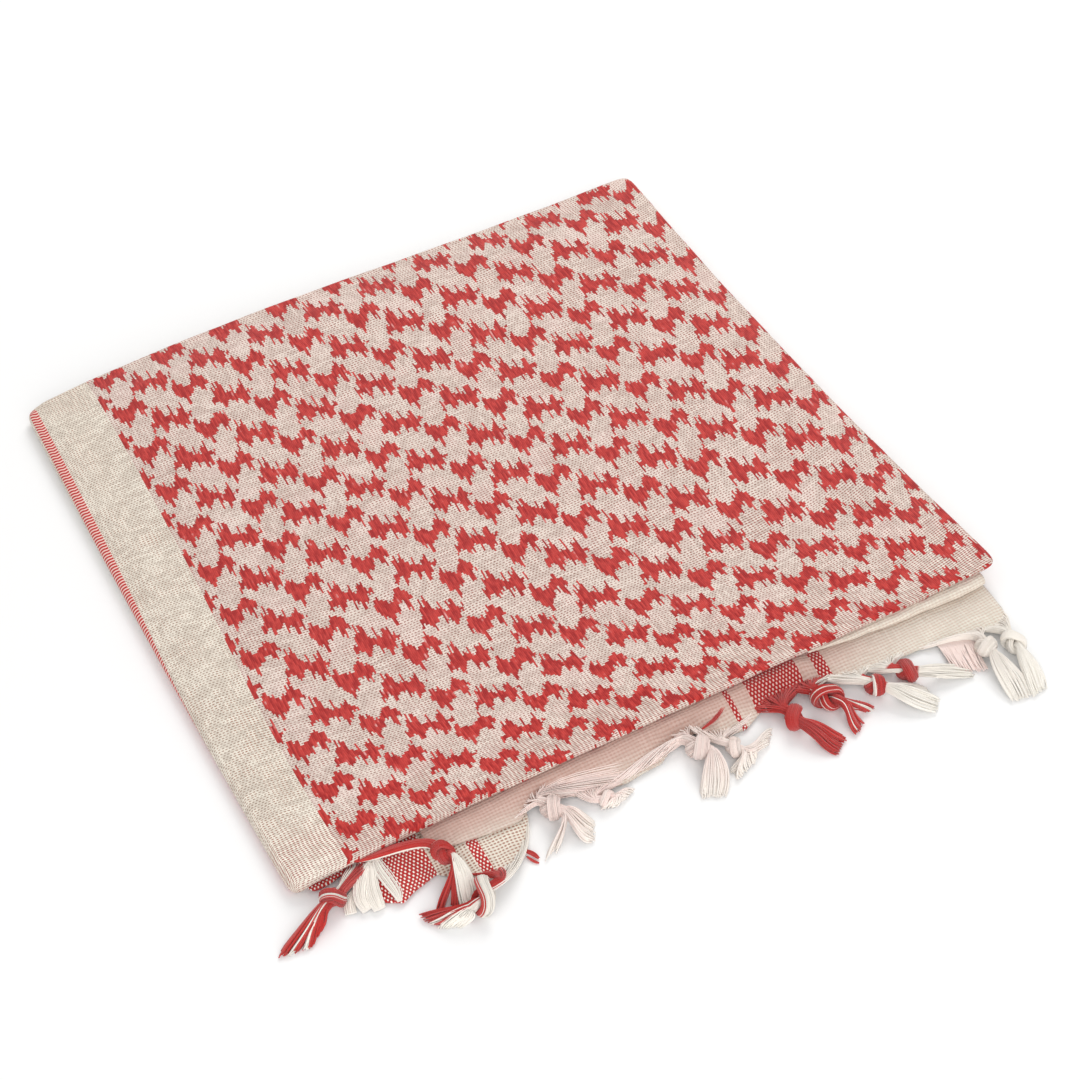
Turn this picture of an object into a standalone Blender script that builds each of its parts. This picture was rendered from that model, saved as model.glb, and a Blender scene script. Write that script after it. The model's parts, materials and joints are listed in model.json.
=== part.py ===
"""A square cotton keffiyeh, folded in half twice each way and laid flat.

Every form is worked out in millimetres, from the front left corner of the folded pad: X to the
right along its front edge, Y to the back, Z up from the surface it lies on. The last step puts the
origin under the middle of the whole footprint, and meshes are written in metres.
"""

import bmesh
import bpy
import numpy as np

MM = 0.001

# The folded pad
SIDE = 275.0  # a cloth 1100 mm square, folded to a quarter of its side each way
WALL = 1.0  # thickness of the top panel's cloth, with its loose lie
GAP = 0.35  # air between pieces that touch
CORNER_POWER = 70.0  # superellipse power of the outline; higher is sharper
EDGE_BLEND = 12.0  # how far in from an edge the turned edge reaches
FRONT_SETBACK = 13.5  # how far back the hidden layers stop at the front
FOLD_CLEARANCE = 0.5  # the left fold's lowest point over the surface
SIDE_STEPS = 15  # outline points a side

# Height of the top panel over the surface. Columns: X; rows: Y. The left fold is thin, the folded
# edges at the right and back stand up, and the middle lies lower.
HEIGHT_X = (0.0, 60.0, 165.0, 275.0)
HEIGHT_Y = (0.0, 137.5, 275.0)
HEIGHT = (
    (5.5, 8.5, 9.5, 11.0),
    (5.5, 8.4, 7.6, 7.6),
    (6.0, 10.4, 9.6, 9.0),
)

# How far each edge bows in from the straight line at its middle: front, right, back, left
BOW = (0.3, 2.2, -0.6, -0.8)

# Thickness of the edge that is turned under, at the left and the right end of the front
TURN_LEFT = 2.4
TURN_RIGHT = 3.1

# The under side of the turned edge, outside in. Columns: inset, share of its extra thickness
UNDER_TURN = ((4.0, 1.0), (6.5, 0.62), (9.0, 0.25))
# Inside the left fold: air below the panel's wall, and the foot's insets down to the surface
FOLD_AIR = 0.75
FOLD_FOOT_INSETS = (2.3, 2.2, 2.6)

# Folded edges of the hidden layers, from the top one down: how far each stands in from the outline
LAYER_INSETS = (0.8, 0.3, 1.3)
GROOVE = 1.5

# The fringed edge that comes out below the turned front edge, from left to right.
# Columns: X, Y of its edge, Z of its upper face there
UPPER_EDGE = (
    (47.0, -7.0, 4.2),
    (54.0, -9.0, 4.1),
    (70.0, -11.0, 4.0),
    (79.0, -10.5, 3.4),
    (85.0, -6.0, 2.6),
    (92.0, -5.0, 2.0),
    (99.0, -9.5, 1.6),
    (107.0, -12.0, 1.5),
    (117.0, -13.5, 1.5),
    (131.0, -12.0, 1.5),
    (139.0, -7.5, 1.8),
    (147.0, -7.0, 1.9),
    (154.0, -12.5, 1.5),
    (163.0, -14.0, 1.5),
    (169.0, -11.0, 1.6),
    (175.0, -8.5, 1.8),
    (190.0, -9.0, 1.7),
    (200.0, -10.5, 1.6),
    (210.0, -13.0, 1.5),
    (232.0, -14.0, 1.5),
    (245.0, -17.0, 1.5),
    (256.0, -18.5, 1.5),
    (261.0, -20.0, 1.5),
    (264.5, -19.2, 1.5),
    (268.0, -15.0, 1.5),
)
# The lower fringed edge, at the left, with the wide checked band. Same columns
LOWER_EDGE = (
    (31.0, -18.5, 1.5),
    (36.0, -17.5, 1.5),
    (45.0, -15.0, 1.5),
    (51.0, -19.5, 1.5),
    (57.0, -24.0, 1.5),
    (64.0, -25.0, 1.5),
    (71.0, -22.5, 1.5),
    (78.0, -16.0, 1.5),
    (82.0, -10.0, 1.5),
)
# The corner of the layer below, that looks out at the front left. Same columns
CORNER_EDGE = (
    (6.0, -0.8, 1.9),
    (10.0, -1.0, 2.0),
    (14.0, -0.6, 2.2),
    (21.0, 1.0, 2.3),
)
EDGE_WALL = 1.1
SHEET_BACK = 12.0  # Y at which both fringed edges start, under the top panel
LOWER_TOP = 3.5  # Z of the lower fringed edge's upper face where it comes out
CORNER_TOP = 2.4  # the same for the corner
CORNER_BACK = 0.55  # how steeply the corner's hidden edge runs back from the left

# The plain fold between the turned edge and the fringed edge, at the right.
# Columns: X, height, how far it stands out in front
INNER_FOLD = (
    (197.0, 0.9, -1.0),
    (212.0, 2.0, 0.6),
    (230.0, 3.2, 1.8),
    (250.0, 4.1, 2.6),
    (264.0, 4.4, 3.0),
    (268.0, 4.0, 2.4),
)
FOLD_START = 192.0  # X from which the fringed edge lies lower to make room for it

# Knotted tassels. Columns: X, Y, Z of the root, half its width; X, Y and radius of the knot, and
# the height of what the knot lies on; X, Y of the first and the last tip; strands side by side
TASSELS = {
    "tassel_01": (23.5, -2.8, 3.4, 1.9, 11.3, -8.5, 4.6, 0.0, -11.0, -19.0, 1.5, -21.5, 5),
    "tassel_02": (35.3, -2.2, 6.1, 1.8, 49.5, -12.5, 4.0, 3.4, 41.5, -26.5, 50.5, -26.5, 5),
    "tassel_03": (61.7, -27.4, 1.6, 2.8, 54.0, -33.0, 4.4, 0.0, 35.5, -30.5, 37.0, -36.5, 5),
    "tassel_04": (84.0, -8.6, 3.3, 2.4, 89.5, -12.0, 4.2, 0.0, 82.5, -27.0, 98.5, -24.5, 5),
    "tassel_05": (101.0, -12.6, 1.5, 2.0, 107.5, -17.0, 2.6, 0.0, 114.0, -20.5, 117.5, -17.0, 3),
    "tassel_06": (136.8, -10.9, 1.8, 2.4, 144.0, -15.0, 4.6, 0.0, 136.0, -33.5, 144.0, -33.0, 5),
    "tassel_07": (153.0, -13.8, 1.6, 3.0, 154.6, -20.4, 3.4, 0.0, 150.0, -32.5, 163.0, -28.5, 4),
    "tassel_08": (177.5, -10.2, 1.7, 5.0, 178.3, -20.1, 4.4, 0.0, 183.0, -38.5, 190.5, -34.5, 5),
    "tassel_09": (189.5, -11.0, 1.7, 3.4, 192.6, -18.5, 4.5, 0.0, 194.0, -34.5, 204.0, -28.5, 5),
    "tassel_10": (206.0, -14.2, 1.6, 3.2, 209.7, -22.1, 4.2, 0.0, 221.5, -39.0, 226.0, -33.0, 5),
    "tassel_11": (218.0, -15.6, 1.6, 2.8, 222.3, -22.1, 4.0, 0.0, 235.5, -34.0, 237.0, -29.0, 4),
    "tassel_12": (252.5, -18.5, 1.6, 2.2, 251.5, -27.0, 4.2, 0.0, 247.5, -51.0, 254.0, -51.5, 5),
    "tassel_13": (262.8, -20.15, 1.6, 1.6, 260.8, -30.0, 3.9, 0.0, 256.5, -50.5, 263.0, -50.0, 5),
}
# Section of a tassel: how far along its line, half width and half height. The first group runs
# from the root to the knot, as shares of the knot's radius; the last is the neck below it
ROPE = ((0.30, 0.50, 0.42), (0.75, 0.48, 0.45))
KNOT = ((0.06, 0.78, 0.72), (0.30, 1.0, 0.92), (0.62, 0.98, 0.90), (0.88, 0.70, 0.60))
NECK = (1.0, 0.62, 0.34)
KNOT_REACH = 1.45  # how far the knot's bend reaches each way, in radii
STRAND_STEPS = (0.36, 0.7, 1.0)
STRAND_FLOOR = 0.45  # lowest point of a strand's underside
STRAND_LIFT = 1.15  # height between the two rows of strands at their tips
STRAND_HALF_HEIGHT = 0.46
STRAND_BEND = 0.3  # how far a strand runs straight on from the neck, as a share of its reach
STRAND_FILL = 0.385  # half a strand's width as a share of the room between strands

# Loose fringe yarns that hang from the edges without a knot: rows as for a tassel's root, then
# the two ends of the cut line, the strands side by side
LOOSE_ROOT = (243.6, -17.7, 1.5, 3.4)
LOOSE_TIPS = (239.8, -30.5, 244.6, -32.0, 6)

# A hank of white yarns that bulges out in loops. Columns: X, Y, Z of its line, half width, half
# height
LOOPS = (
    (29.4, -5.2, 3.0, 0.9, 0.9),
    (27.4, -7.6, 3.6, 2.2, 1.3),
    (24.2, -10.0, 3.4, 3.8, 1.5),
    (22.6, -13.0, 2.8, 4.6, 1.5),
    (22.0, -16.0, 2.0, 4.6, 1.3),
    (22.0, -18.0, 1.5, 3.4, 0.9),
)

RED = (0.58, 0.045, 0.04)
CREAM = (0.74, 0.68, 0.58)
WHITE = (0.84, 0.80, 0.72)
PINK = (0.86, 0.66, 0.62)
TASSEL_COLOURS = {
    "tassel_01": RED, "tassel_02": RED, "tassel_03": RED, "tassel_04": PINK, "tassel_05": PINK,
    "tassel_06": PINK, "tassel_07": PINK, "tassel_08": RED, "tassel_09": RED, "tassel_10": WHITE,
    "tassel_11": RED, "tassel_12": WHITE, "tassel_13": WHITE,
}
ROUGHNESS = 0.85


def clear_scene():
    for obj in list(bpy.data.objects):
        bpy.data.objects.remove(obj, do_unlink=True)


def cotton(name, colour):
    material = bpy.data.materials.new(name)
    material.use_nodes = True
    shader = material.node_tree.nodes["Principled BSDF"]
    shader.inputs["Base Color"].default_value = (*colour, 1.0)
    shader.inputs["Roughness"].default_value = ROUGHNESS
    shader.inputs["Metallic"].default_value = 0.0
    return material


def add_object(name, points, faces, colour):
    """One closed body from points in millimetres and faces of any size, turned outwards."""
    mesh = bpy.data.meshes.new(name)
    mesh.from_pydata((np.asarray(points) * MM).tolist(), [], faces)
    body = bmesh.new()
    body.from_mesh(mesh)
    bmesh.ops.recalc_face_normals(body, faces=body.faces)
    body.to_mesh(mesh)
    body.free()
    mesh.materials.append(cotton(name, colour))
    mesh.shade_smooth()
    mesh.set_sharp_from_angle(angle=np.radians(50.0))
    obj = bpy.data.objects.new(name, mesh)
    bpy.context.scene.collection.objects.link(obj)
    return obj


def lagrange(at, knots):
    """Weights (len(knots), ...) of the polynomial through the knots, at each value."""
    at = np.asarray(at, float)
    weights = []
    for i, knot in enumerate(knots):
        weight = np.ones_like(at)
        for j, other in enumerate(knots):
            if j != i:
                weight = weight * (at - other) / (knot - other)
        weights.append(weight)
    return np.array(weights)


def top_height(x, y):
    """Height of the top panel: the polynomial surface through the table of heights."""
    x = np.clip(x, 0.0, SIDE)
    y = np.clip(y, 0.0, SIDE)
    return np.einsum("i...,j...,ji->...", lagrange(x, HEIGHT_X), lagrange(y, HEIGHT_Y), HEIGHT)


def turn_thickness(x):
    return TURN_LEFT + (TURN_RIGHT - TURN_LEFT) * np.clip(x / SIDE, 0.0, 1.0)


def smooth(value, low, high):
    share = np.clip((value - low) / (high - low), 0.0, 1.0)
    return share * share * (3.0 - 2.0 * share)


def outline_shares():
    """(across, back) from 0 to 1 round the square, closer together near the corners."""
    step = np.arange(SIDE_STEPS) / SIDE_STEPS
    eased = step - 0.13 * np.sin(2.0 * np.pi * step)
    zero = np.zeros(SIDE_STEPS)
    one = np.ones(SIDE_STEPS)
    across = np.concatenate([eased, one, 1.0 - eased, zero])
    back = np.concatenate([zero, eased, one, 1.0 - eased])
    return across, back


def plan(across, back, inset):
    """X and Y of outline points moved in by inset: a superellipse whose sides bow a little."""
    half = SIDE / 2.0 - inset
    u = 2.0 * across - 1.0
    v = 2.0 * back - 1.0
    norm = (np.abs(u) ** CORNER_POWER + np.abs(v) ** CORNER_POWER) ** (1.0 / CORNER_POWER)
    u = u / norm
    v = v / norm
    near_front = smooth(-v, 0.3, 1.0)
    near_back = smooth(v, 0.3, 1.0)
    near_right = smooth(u, 0.3, 1.0)
    near_left = smooth(-u, 0.3, 1.0)
    bow_x = (BOW[3] * near_left - BOW[1] * near_right) * (1.0 - v * v)
    bow_y = (BOW[0] * near_front - BOW[2] * near_back) * (1.0 - u * u)
    return SIDE / 2.0 + half * u + bow_x, SIDE / 2.0 + half * v + bow_y


def rings_to_mesh(rings):
    """Points and faces of a body from rings of equal length, closed by one point at each end."""
    count, size, _ = rings.shape
    ends = [rings[0].mean(axis=0)[None], rings[-1].mean(axis=0)[None]]
    points = np.concatenate([rings.reshape(-1, 3), *ends])
    faces = []
    for i in range(size):
        after = (i + 1) % size
        faces.append((count * size, i, after))
        faces.append((count * size + 1, (count - 1) * size + after, (count - 1) * size + i))
        for k in range(count - 1):
            far = (k + 1) * size
            faces.append((k * size + i, far + i, far + after, k * size + after))
    return points, faces


INTERIOR_INSETS = (118.0, 85.0, 52.0, 28.0, EDGE_BLEND)


def turned_profile(thick):
    """The edge turned under, as insets and drops below the top: a round nose, then its under side."""
    radius = thick / 2.0
    angles = np.radians((0.0, 35.0, 65.0, 90.0, 115.0, 145.0, 180.0))[:, None]
    nose_inset = radius * (1.0 - np.sin(angles))
    nose_drop = radius * (1.0 - np.cos(angles))
    under_inset = np.array([row[0] for row in UNDER_TURN])[:, None] + np.zeros_like(thick)
    under_drop = WALL + np.array([row[1] for row in UNDER_TURN])[:, None] * (thick - WALL)
    return np.concatenate([nose_inset, under_inset]), np.concatenate([nose_drop, under_drop])


def fold_profile(height):
    """The left fold: the wall goes round the stack in a half circle and stops near the surface."""
    radius = (height - FOLD_CLEARANCE) / 2.0
    outer = np.radians((0.0, 35.0, 70.0, 100.0, 130.0))[:, None]
    inner = np.radians((130.0, 90.0, 45.0, 0.0))[:, None]
    inset = np.concatenate([radius * (1.0 - np.sin(outer)), radius - (radius - WALL) * np.sin(inner)])
    drop = radius - np.concatenate([radius * np.cos(outer), (radius - WALL) * np.cos(inner)])
    last = np.full_like(height, UNDER_TURN[-1][0])[None]
    return np.concatenate([inset, last]), np.concatenate([drop, np.full_like(last, WALL)])


def left_share(x):
    return 1.0 - smooth(x, 1.0, 9.0)


def make_top_panel():
    """The outermost layer: its upper face, the turned or folded edge, and its under face."""
    across, back = outline_shares()
    rim_x, rim_y = plan(across, back, 0.0)
    height = top_height(rim_x, rim_y)
    left = left_share(rim_x)
    turned_inset, turned_drop = turned_profile(turn_thickness(rim_x))
    fold_inset, fold_drop = fold_profile(height)
    inset = left * fold_inset + (1.0 - left) * turned_inset
    drop = left * fold_drop + (1.0 - left) * turned_drop
    rings = []
    for depth in INTERIOR_INSETS:
        x, y = plan(across, back, depth)
        rings.append(np.stack([x, y, top_height(x, y)], axis=1))
    for k in range(len(inset)):
        x, y = plan(across, back, inset[k])
        rings.append(np.stack([x, y, top_height(x, y) - drop[k]], axis=1))
    for depth in reversed(INTERIOR_INSETS):
        x, y = plan(across, back, depth)
        rings.append(np.stack([x, y, top_height(x, y) - WALL], axis=1))
    points, faces = rings_to_mesh(np.array(rings))
    return add_object("top_panel", points, faces, CREAM)


def layered_profile(setback):
    """The folded edges of the hidden layers, as insets and shares of the height: round noses."""
    inset = []
    share = []
    layers = len(LAYER_INSETS)
    for k, stand_in in enumerate(LAYER_INSETS):
        for angle in (30.0, 90.0, 150.0):
            inset.append(stand_in + 0.5 * GROOVE * (1.0 - np.sin(np.radians(angle))))
            share.append(1.0 - (k + 0.5 - 0.5 * np.cos(np.radians(angle))) / layers)
        if k < layers - 1:
            inset.append(max(stand_in, LAYER_INSETS[k + 1]) + GROOVE)
            share.append(1.0 - (k + 1.0) / layers)
    inset.append(LAYER_INSETS[-1] + GROOVE)
    share.append(0.0)
    return np.array(inset)[:, None] + setback, np.array(share)[:, None] + 0.0 * setback


def inside_fold_profile(height, count):
    """What lies inside the left fold, as insets and shares of the height, down to the surface."""
    radius = (height - FOLD_CLEARANCE) / 2.0
    inner = radius - WALL - FOLD_AIR
    angles = np.radians(np.linspace(5.0, 100.0, count - 3))[:, None]
    inset = radius - inner * np.sin(angles)
    share = (height - radius + inner * np.cos(angles)) / (height - WALL - GAP)
    foot_inset = np.array(FOLD_FOOT_INSETS)[:, None] + np.zeros_like(height)
    foot_share = np.array((0.2, 0.08, 0.0))[:, None] + np.zeros_like(height)
    return np.concatenate([inset, foot_inset]), np.concatenate([np.minimum(share, 0.97), foot_share])


def make_folded_layers():
    """The hidden layers as one solid, flat below and layered at its edges."""
    across, back = outline_shares()
    rim_x, rim_y = plan(across, back, 0.0)
    height = top_height(rim_x, rim_y)
    thick = turn_thickness(rim_x)
    left = left_share(rim_x)
    front = (1.0 - smooth(rim_y, 0.5, 14.0)) * (1.0 - left)
    side_inset, side_share = layered_profile(np.zeros_like(height))
    front_inset, front_share = layered_profile(np.full_like(height, FRONT_SETBACK))
    left_inset, left_share_of = inside_fold_profile(height, len(side_inset))
    plain = 1.0 - left - front
    inset = plain * side_inset + front * front_inset + left * left_inset
    share = plain * side_share + front * front_share + left * left_share_of
    edge_drop = WALL + plain * (thick - WALL) + GAP
    rings = []
    for depth in INTERIOR_INSETS:
        depth = depth + front * max(0.0, FRONT_SETBACK + 2.0 - depth)
        x, y = plan(across, back, depth)
        rings.append(np.stack([x, y, top_height(x, y) - WALL - GAP], axis=1))
    for depth, turned in reversed(UNDER_TURN[:3]):
        drop = WALL + plain * turned * (thick - WALL) + GAP
        depth = (1.0 - front) * depth + front * (FRONT_SETBACK + 1.6 + 0.04 * depth)
        x, y = plan(across, back, depth)
        rings.append(np.stack([x, y, top_height(x, y) - drop], axis=1))
    for k in range(len(inset)):
        x, y = plan(across, back, inset[k])
        rings.append(np.stack([x, y, share[k] * (top_height(x, y) - edge_drop)], axis=1))
    for depth in (20.0, 70.0):
        x, y = plan(across, back, depth)
        rings.append(np.stack([x, y, np.zeros_like(x)], axis=1))
    points, faces = rings_to_mesh(np.array(rings))
    points[np.abs(points[:, 2]) < 1e-6, 2] = 0.0
    return add_object("folded_layers", points, faces, CREAM)


def fold_height(x):
    table = np.array(INNER_FOLD)
    return np.interp(x, table[:, 0], table[:, 1])


def upper_sheet_top(x):
    """Z of the fringed edge's upper face below the turned edge, lower under the plain fold."""
    free = top_height(x, 0.0 * x) - turn_thickness(x) - GAP
    share = smooth(x, FOLD_START, INNER_FOLD[0][0])
    return free - share * (fold_height(x) + GAP)


def wall_from_faces(upper, thick):
    """A wall hanging down by thick from a grid of upper points (rows, columns, 3)."""
    lower = upper - np.array((0.0, 0.0, 1.0)) * np.asarray(thick)[..., None]
    rows, columns, _ = upper.shape
    size = rows * columns
    points = np.concatenate([upper.reshape(-1, 3), lower.reshape(-1, 3)])
    faces = []
    for r in range(rows - 1):
        for c in range(columns - 1):
            a = r * columns + c
            quad = (a, a + 1, a + columns + 1, a + columns)
            faces.append(quad)
            faces.append(tuple(size + i for i in reversed(quad)))
    rim = [c for c in range(columns)]
    rim += [r * columns + columns - 1 for r in range(1, rows)]
    rim += [(rows - 1) * columns + c for c in range(columns - 2, -1, -1)]
    rim += [r * columns for r in range(rows - 2, 0, -1)]
    for i, here in enumerate(rim):
        after = rim[(i + 1) % len(rim)]
        faces.append((after, here, size + here, size + after))
    return points, faces


def fringed_edge(name, table, top_of, back_of, step):
    """A stretch of cloth edge that slopes down from under the panel to where its fringe starts."""
    table = np.array(table)
    count = int(round((table[-1, 0] - table[0, 0]) / step)) + 1
    x = np.linspace(table[0, 0], table[-1, 0], count)
    edge_y = np.interp(x, table[:, 0], table[:, 1])
    edge_z = np.interp(x, table[:, 0], table[:, 2])
    start = np.maximum(edge_y + 0.4, -0.5)
    out_z = top_of(x)
    rows = []
    for share in (0.0, 0.35, 0.7, 1.0):
        y = back_of(x) * (1.0 - share) + start * share
        rows.append(np.stack([x, y, out_z], axis=1))
    for share in (0.3, 0.65, 1.0):
        fall = smooth(share, 0.0, 1.0)
        y = start + share * (edge_y - start)
        rows.append(np.stack([x, y, out_z + fall * (edge_z - out_z)], axis=1))
    points, faces = wall_from_faces(np.array(rows), np.full((len(rows), count), EDGE_WALL))
    return add_object(name, points, faces, CREAM)


def flat_at(value):
    return lambda x: np.full_like(x, value)


def make_fringed_edges():
    back = flat_at(SHEET_BACK)
    fringed_edge("upper_fringed_edge", UPPER_EDGE, upper_sheet_top, back, 4.6)
    fringed_edge("lower_fringed_edge", LOWER_EDGE, flat_at(LOWER_TOP), back, 4.2)
    fringed_edge("corner_layer", CORNER_EDGE, flat_at(CORNER_TOP), lambda x: CORNER_BACK * x - 0.9, 3.75)


def make_inner_fold():
    """The plain fold at the front right: a bar of cloth with a round nose in front."""
    table = np.array(INNER_FOLD)
    x = np.linspace(table[0, 0], table[-1, 0], 14)
    tall = np.interp(x, table[:, 0], table[:, 1])
    stand = np.interp(x, table[:, 0], table[:, 2])
    top = top_height(x, 0.0 * x) - turn_thickness(x) - GAP - 0.02
    angles = np.radians((90.0, 50.0, 15.0, -15.0, -50.0, -90.0))
    rings = []
    for i in range(len(x)):
        radius = 0.5 * (tall[i] - 0.04)
        nose_y = -stand[i] + radius * (1.0 - np.cos(angles))
        nose_z = top[i] - radius + radius * np.sin(angles)
        y = np.concatenate([[SHEET_BACK], nose_y, [SHEET_BACK]])
        z = np.concatenate([[top[i]], nose_z, [top[i] - 2.0 * radius]])
        rings.append(np.stack([np.full_like(y, x[i]), y, z], axis=1))
    points, faces = rings_to_mesh(np.array(rings))
    return add_object("inner_fold", points, faces, WHITE)


def unit(vector):
    return vector / np.linalg.norm(vector)


def section(centre, along, half_width, half_height, columns):
    """Grid points (3 rows, columns + 1) of an oval section across the line."""
    side = unit(np.cross(along, (0.0, 0.0, 1.0)))
    up = np.cross(side, along)
    u = np.linspace(-1.0, 1.0, columns + 1)[None, :] + np.zeros((3, 1))
    v = np.linspace(-1.0, 1.0, 3)[:, None] + np.zeros((1, columns + 1))
    out = np.maximum(np.abs(u), np.abs(v))
    far = np.sqrt(u * u + v * v)
    scale = np.where(far > 0.0, out / np.maximum(far, 1e-9), 0.0) * 0.75 + 0.25
    return centre + side * (u * scale * half_width)[..., None] + up * (v * scale * half_height)[..., None]


def ring_indices(columns):
    """Rim of a grid of 3 rows, counterclockwise, as (row, column)."""
    rim = [(0, c) for c in range(columns + 1)] + [(1, columns)]
    rim += [(2, c) for c in range(columns, -1, -1)] + [(1, 0)]
    return rim


def bent_line(start, bend, end, share):
    """Point and direction on the parabola from start to end that leans to bend."""
    point = (1.0 - share) ** 2 * start + 2.0 * share * (1.0 - share) * bend + share**2 * end
    along = (1.0 - share) * (bend - start) + share * (end - bend)
    return point, unit(along)


def add_strands(points, faces, cap, pitch, columns, along, tips):
    """From each cell of the cap, a four-sided strand runs on its own to its tip."""
    first, last = tips
    order = np.sign(np.cross(along[:2], (last - first)[:2]))
    cross = unit(last - first)
    spacing = np.linalg.norm(last - first) / max(columns - 1, 1)
    for c in range(columns):
        share = c / max(columns - 1, 1)
        share = share if order < 0 else 1.0 - share
        for r in range(2):
            corners = [cap[r][c], cap[r][c + 1], cap[r + 1][c + 1], cap[r + 1][c]]
            middle = np.mean([points[i] for i in corners], axis=0)
            tip = first + share * (last - first)
            tip = tip + (middle - tip) * (0.05 * ((3 * c + 2 * r) % 4) / 3.0)
            tip[2] = STRAND_FLOOR + STRAND_HALF_HEIGHT + r * STRAND_LIFT
            reach = np.linalg.norm((tip - middle)[:2])
            bend = middle + along * STRAND_BEND * reach
            bend[2] = 0.5 * (middle[2] + tip[2]) + 0.3
            inner = [len(points) + k for k in range(4)]
            for i in corners:
                points.append(0.78 * points[i] + 0.22 * middle)
            for k in range(4):
                after = (k + 1) % 4
                faces.append((corners[k], corners[after], inner[after], inner[k]))
            loop = inner
            for step in STRAND_STEPS:
                centre, direction = bent_line(middle, bend, tip, step)
                side = unit(np.cross(direction, (0.0, 0.0, 1.0)))
                across = abs(np.dot(side, cross))
                apart = pitch * (1.0 - step * step) + spacing * step * step
                half = np.clip(STRAND_FILL * apart * max(across, 0.35), 0.2, 0.95)
                up = np.cross(side, direction)
                tall = STRAND_HALF_HEIGHT * (1.0 - 0.25 * step)
                fresh = [len(points) + k for k in range(4)]
                for s, t in ((-1, -1), (1, -1), (1, 1), (-1, 1)):
                    points.append(centre + side * s * half + up * t * tall)
                for k in range(4):
                    after = (k + 1) % 4
                    faces.append((loop[k], loop[after], fresh[after], fresh[k]))
                loop = fresh
            faces.append(tuple(loop))


def tufted_body(name, stations, columns, tips, colour):
    """One body: oval sections along a line, its last one carrying the strands."""
    points = []
    faces = []
    rim = ring_indices(columns)
    loops = []
    for centre, along, half_width, half_height in stations:
        centre[2] = max(centre[2], half_height + STRAND_FLOOR)
        grid = section(centre, along, half_width, half_height, columns)
        loops.append([len(points) + k for k in range(len(rim))])
        points.extend(grid[r, c] for r, c in rim)
    for near, far in zip(loops, loops[1:]):
        for k in range(len(rim)):
            after = (k + 1) % len(rim)
            faces.append((near[k], near[after], far[after], far[k]))
    faces.append(tuple(reversed(loops[0])))
    centre, along, half_width, half_height = stations[-1]
    grid = section(centre, along, half_width, half_height, columns)
    cap = [[None] * (columns + 1) for _ in range(3)]
    for k, (r, c) in enumerate(rim):
        cap[r][c] = loops[-1][k]
    for c in range(1, columns):
        cap[1][c] = len(points)
        points.append(grid[1, c] + along * 0.15)
    add_strands(points, faces, cap, 1.8 * half_width / columns, columns, along, tips)
    return add_object(name, points, faces, colour)


def make_tassel(name, row, colour):
    root = np.array(row[0:3])
    root_half = row[3]
    radius = row[6]
    level = row[7]
    knot = np.array((row[4], row[5], level + 0.92 * radius + 0.4))
    first = np.array((row[8], row[9], 0.0))
    last = np.array((row[10], row[11], 0.0))
    columns = row[12]
    middle = 0.5 * (first + last)
    out = unit((middle - knot) * (1.0, 1.0, 0.0))
    inward = unit(knot - root)
    before = knot - inward * min(KNOT_REACH * radius, 0.8 * np.linalg.norm(knot - root))
    neck = knot + out * KNOT_REACH * radius
    neck[2] = level + STRAND_FLOOR + 0.34 * radius + 0.9
    stations = [(root, inward, root_half, 0.55)]
    for share, wide, tall in ROPE:
        spread = max(wide * radius, root_half * (1.0 - share))
        stations.append((root + share * (before - root), inward, spread, tall * radius))
    for share, wide, tall in (*KNOT, NECK):
        centre, along = bent_line(before, knot, neck, share)
        stations.append((centre, along, wide * radius, tall * radius))
    tufted_body(name, stations, columns, (first, last), colour)


def make_loose_fringe():
    """Unknotted yarns below the right-hand edge: a short strip with its strands."""
    root = np.array(LOOSE_ROOT[:3])
    first = np.array((*LOOSE_TIPS[0:2], 0.0))
    last = np.array((*LOOSE_TIPS[2:4], 0.0))
    out = unit((0.5 * (first + last) - root) * (1.0, 1.0, 0.0))
    half = LOOSE_ROOT[3]
    stations = [(root, out, half, 0.8), (root + out * 2.0, out, half, 0.95)]
    tufted_body("loose_fringe", stations, LOOSE_TIPS[4], (first, last), PINK)


def make_yarn_loops():
    """A hank of white yarns in loops: ribbed oval sections along its line."""
    table = np.array(LOOPS)
    around = np.radians(np.arange(16) * 22.5)
    rings = []
    for k, row in enumerate(table):
        before = table[max(k - 1, 0), :3]
        after = table[min(k + 1, len(table) - 1), :3]
        along = unit(after - before)
        side = unit(np.cross(along, (0.0, 0.0, 1.0)))
        up = np.cross(side, along)
        rib = 1.0 + 0.10 * np.cos(8.0 * around)
        wide = (row[3] * np.cos(around) * rib)[:, None]
        tall = (row[4] * np.sin(around) * rib)[:, None]
        rings.append(row[:3] + side * wide + up * tall)
    points, faces = rings_to_mesh(np.array(rings))
    return add_object("yarn_loops", points, faces, WHITE)


def centre_on_origin():
    """Moves every mesh so that the origin lies under the middle of the whole footprint."""
    objects = [obj for obj in bpy.data.objects if obj.type == "MESH"]
    corners = []
    for obj in objects:
        flat = np.empty(len(obj.data.vertices) * 3)
        obj.data.vertices.foreach_get("co", flat)
        corners.append(flat.reshape(-1, 3))
    every = np.concatenate(corners)
    middle = 0.5 * (every.min(axis=0) + every.max(axis=0))
    middle[2] = every[:, 2].min()
    for obj, flat in zip(objects, corners):
        obj.data.vertices.foreach_set("co", (flat - middle).ravel())
        obj.data.update()


def main():
    clear_scene()
    make_top_panel()
    make_folded_layers()
    make_fringed_edges()
    make_inner_fold()
    make_yarn_loops()
    make_loose_fringe()
    for name, row in TASSELS.items():
        make_tassel(name, row, TASSEL_COLOURS[name])
    centre_on_origin()


main()
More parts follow.
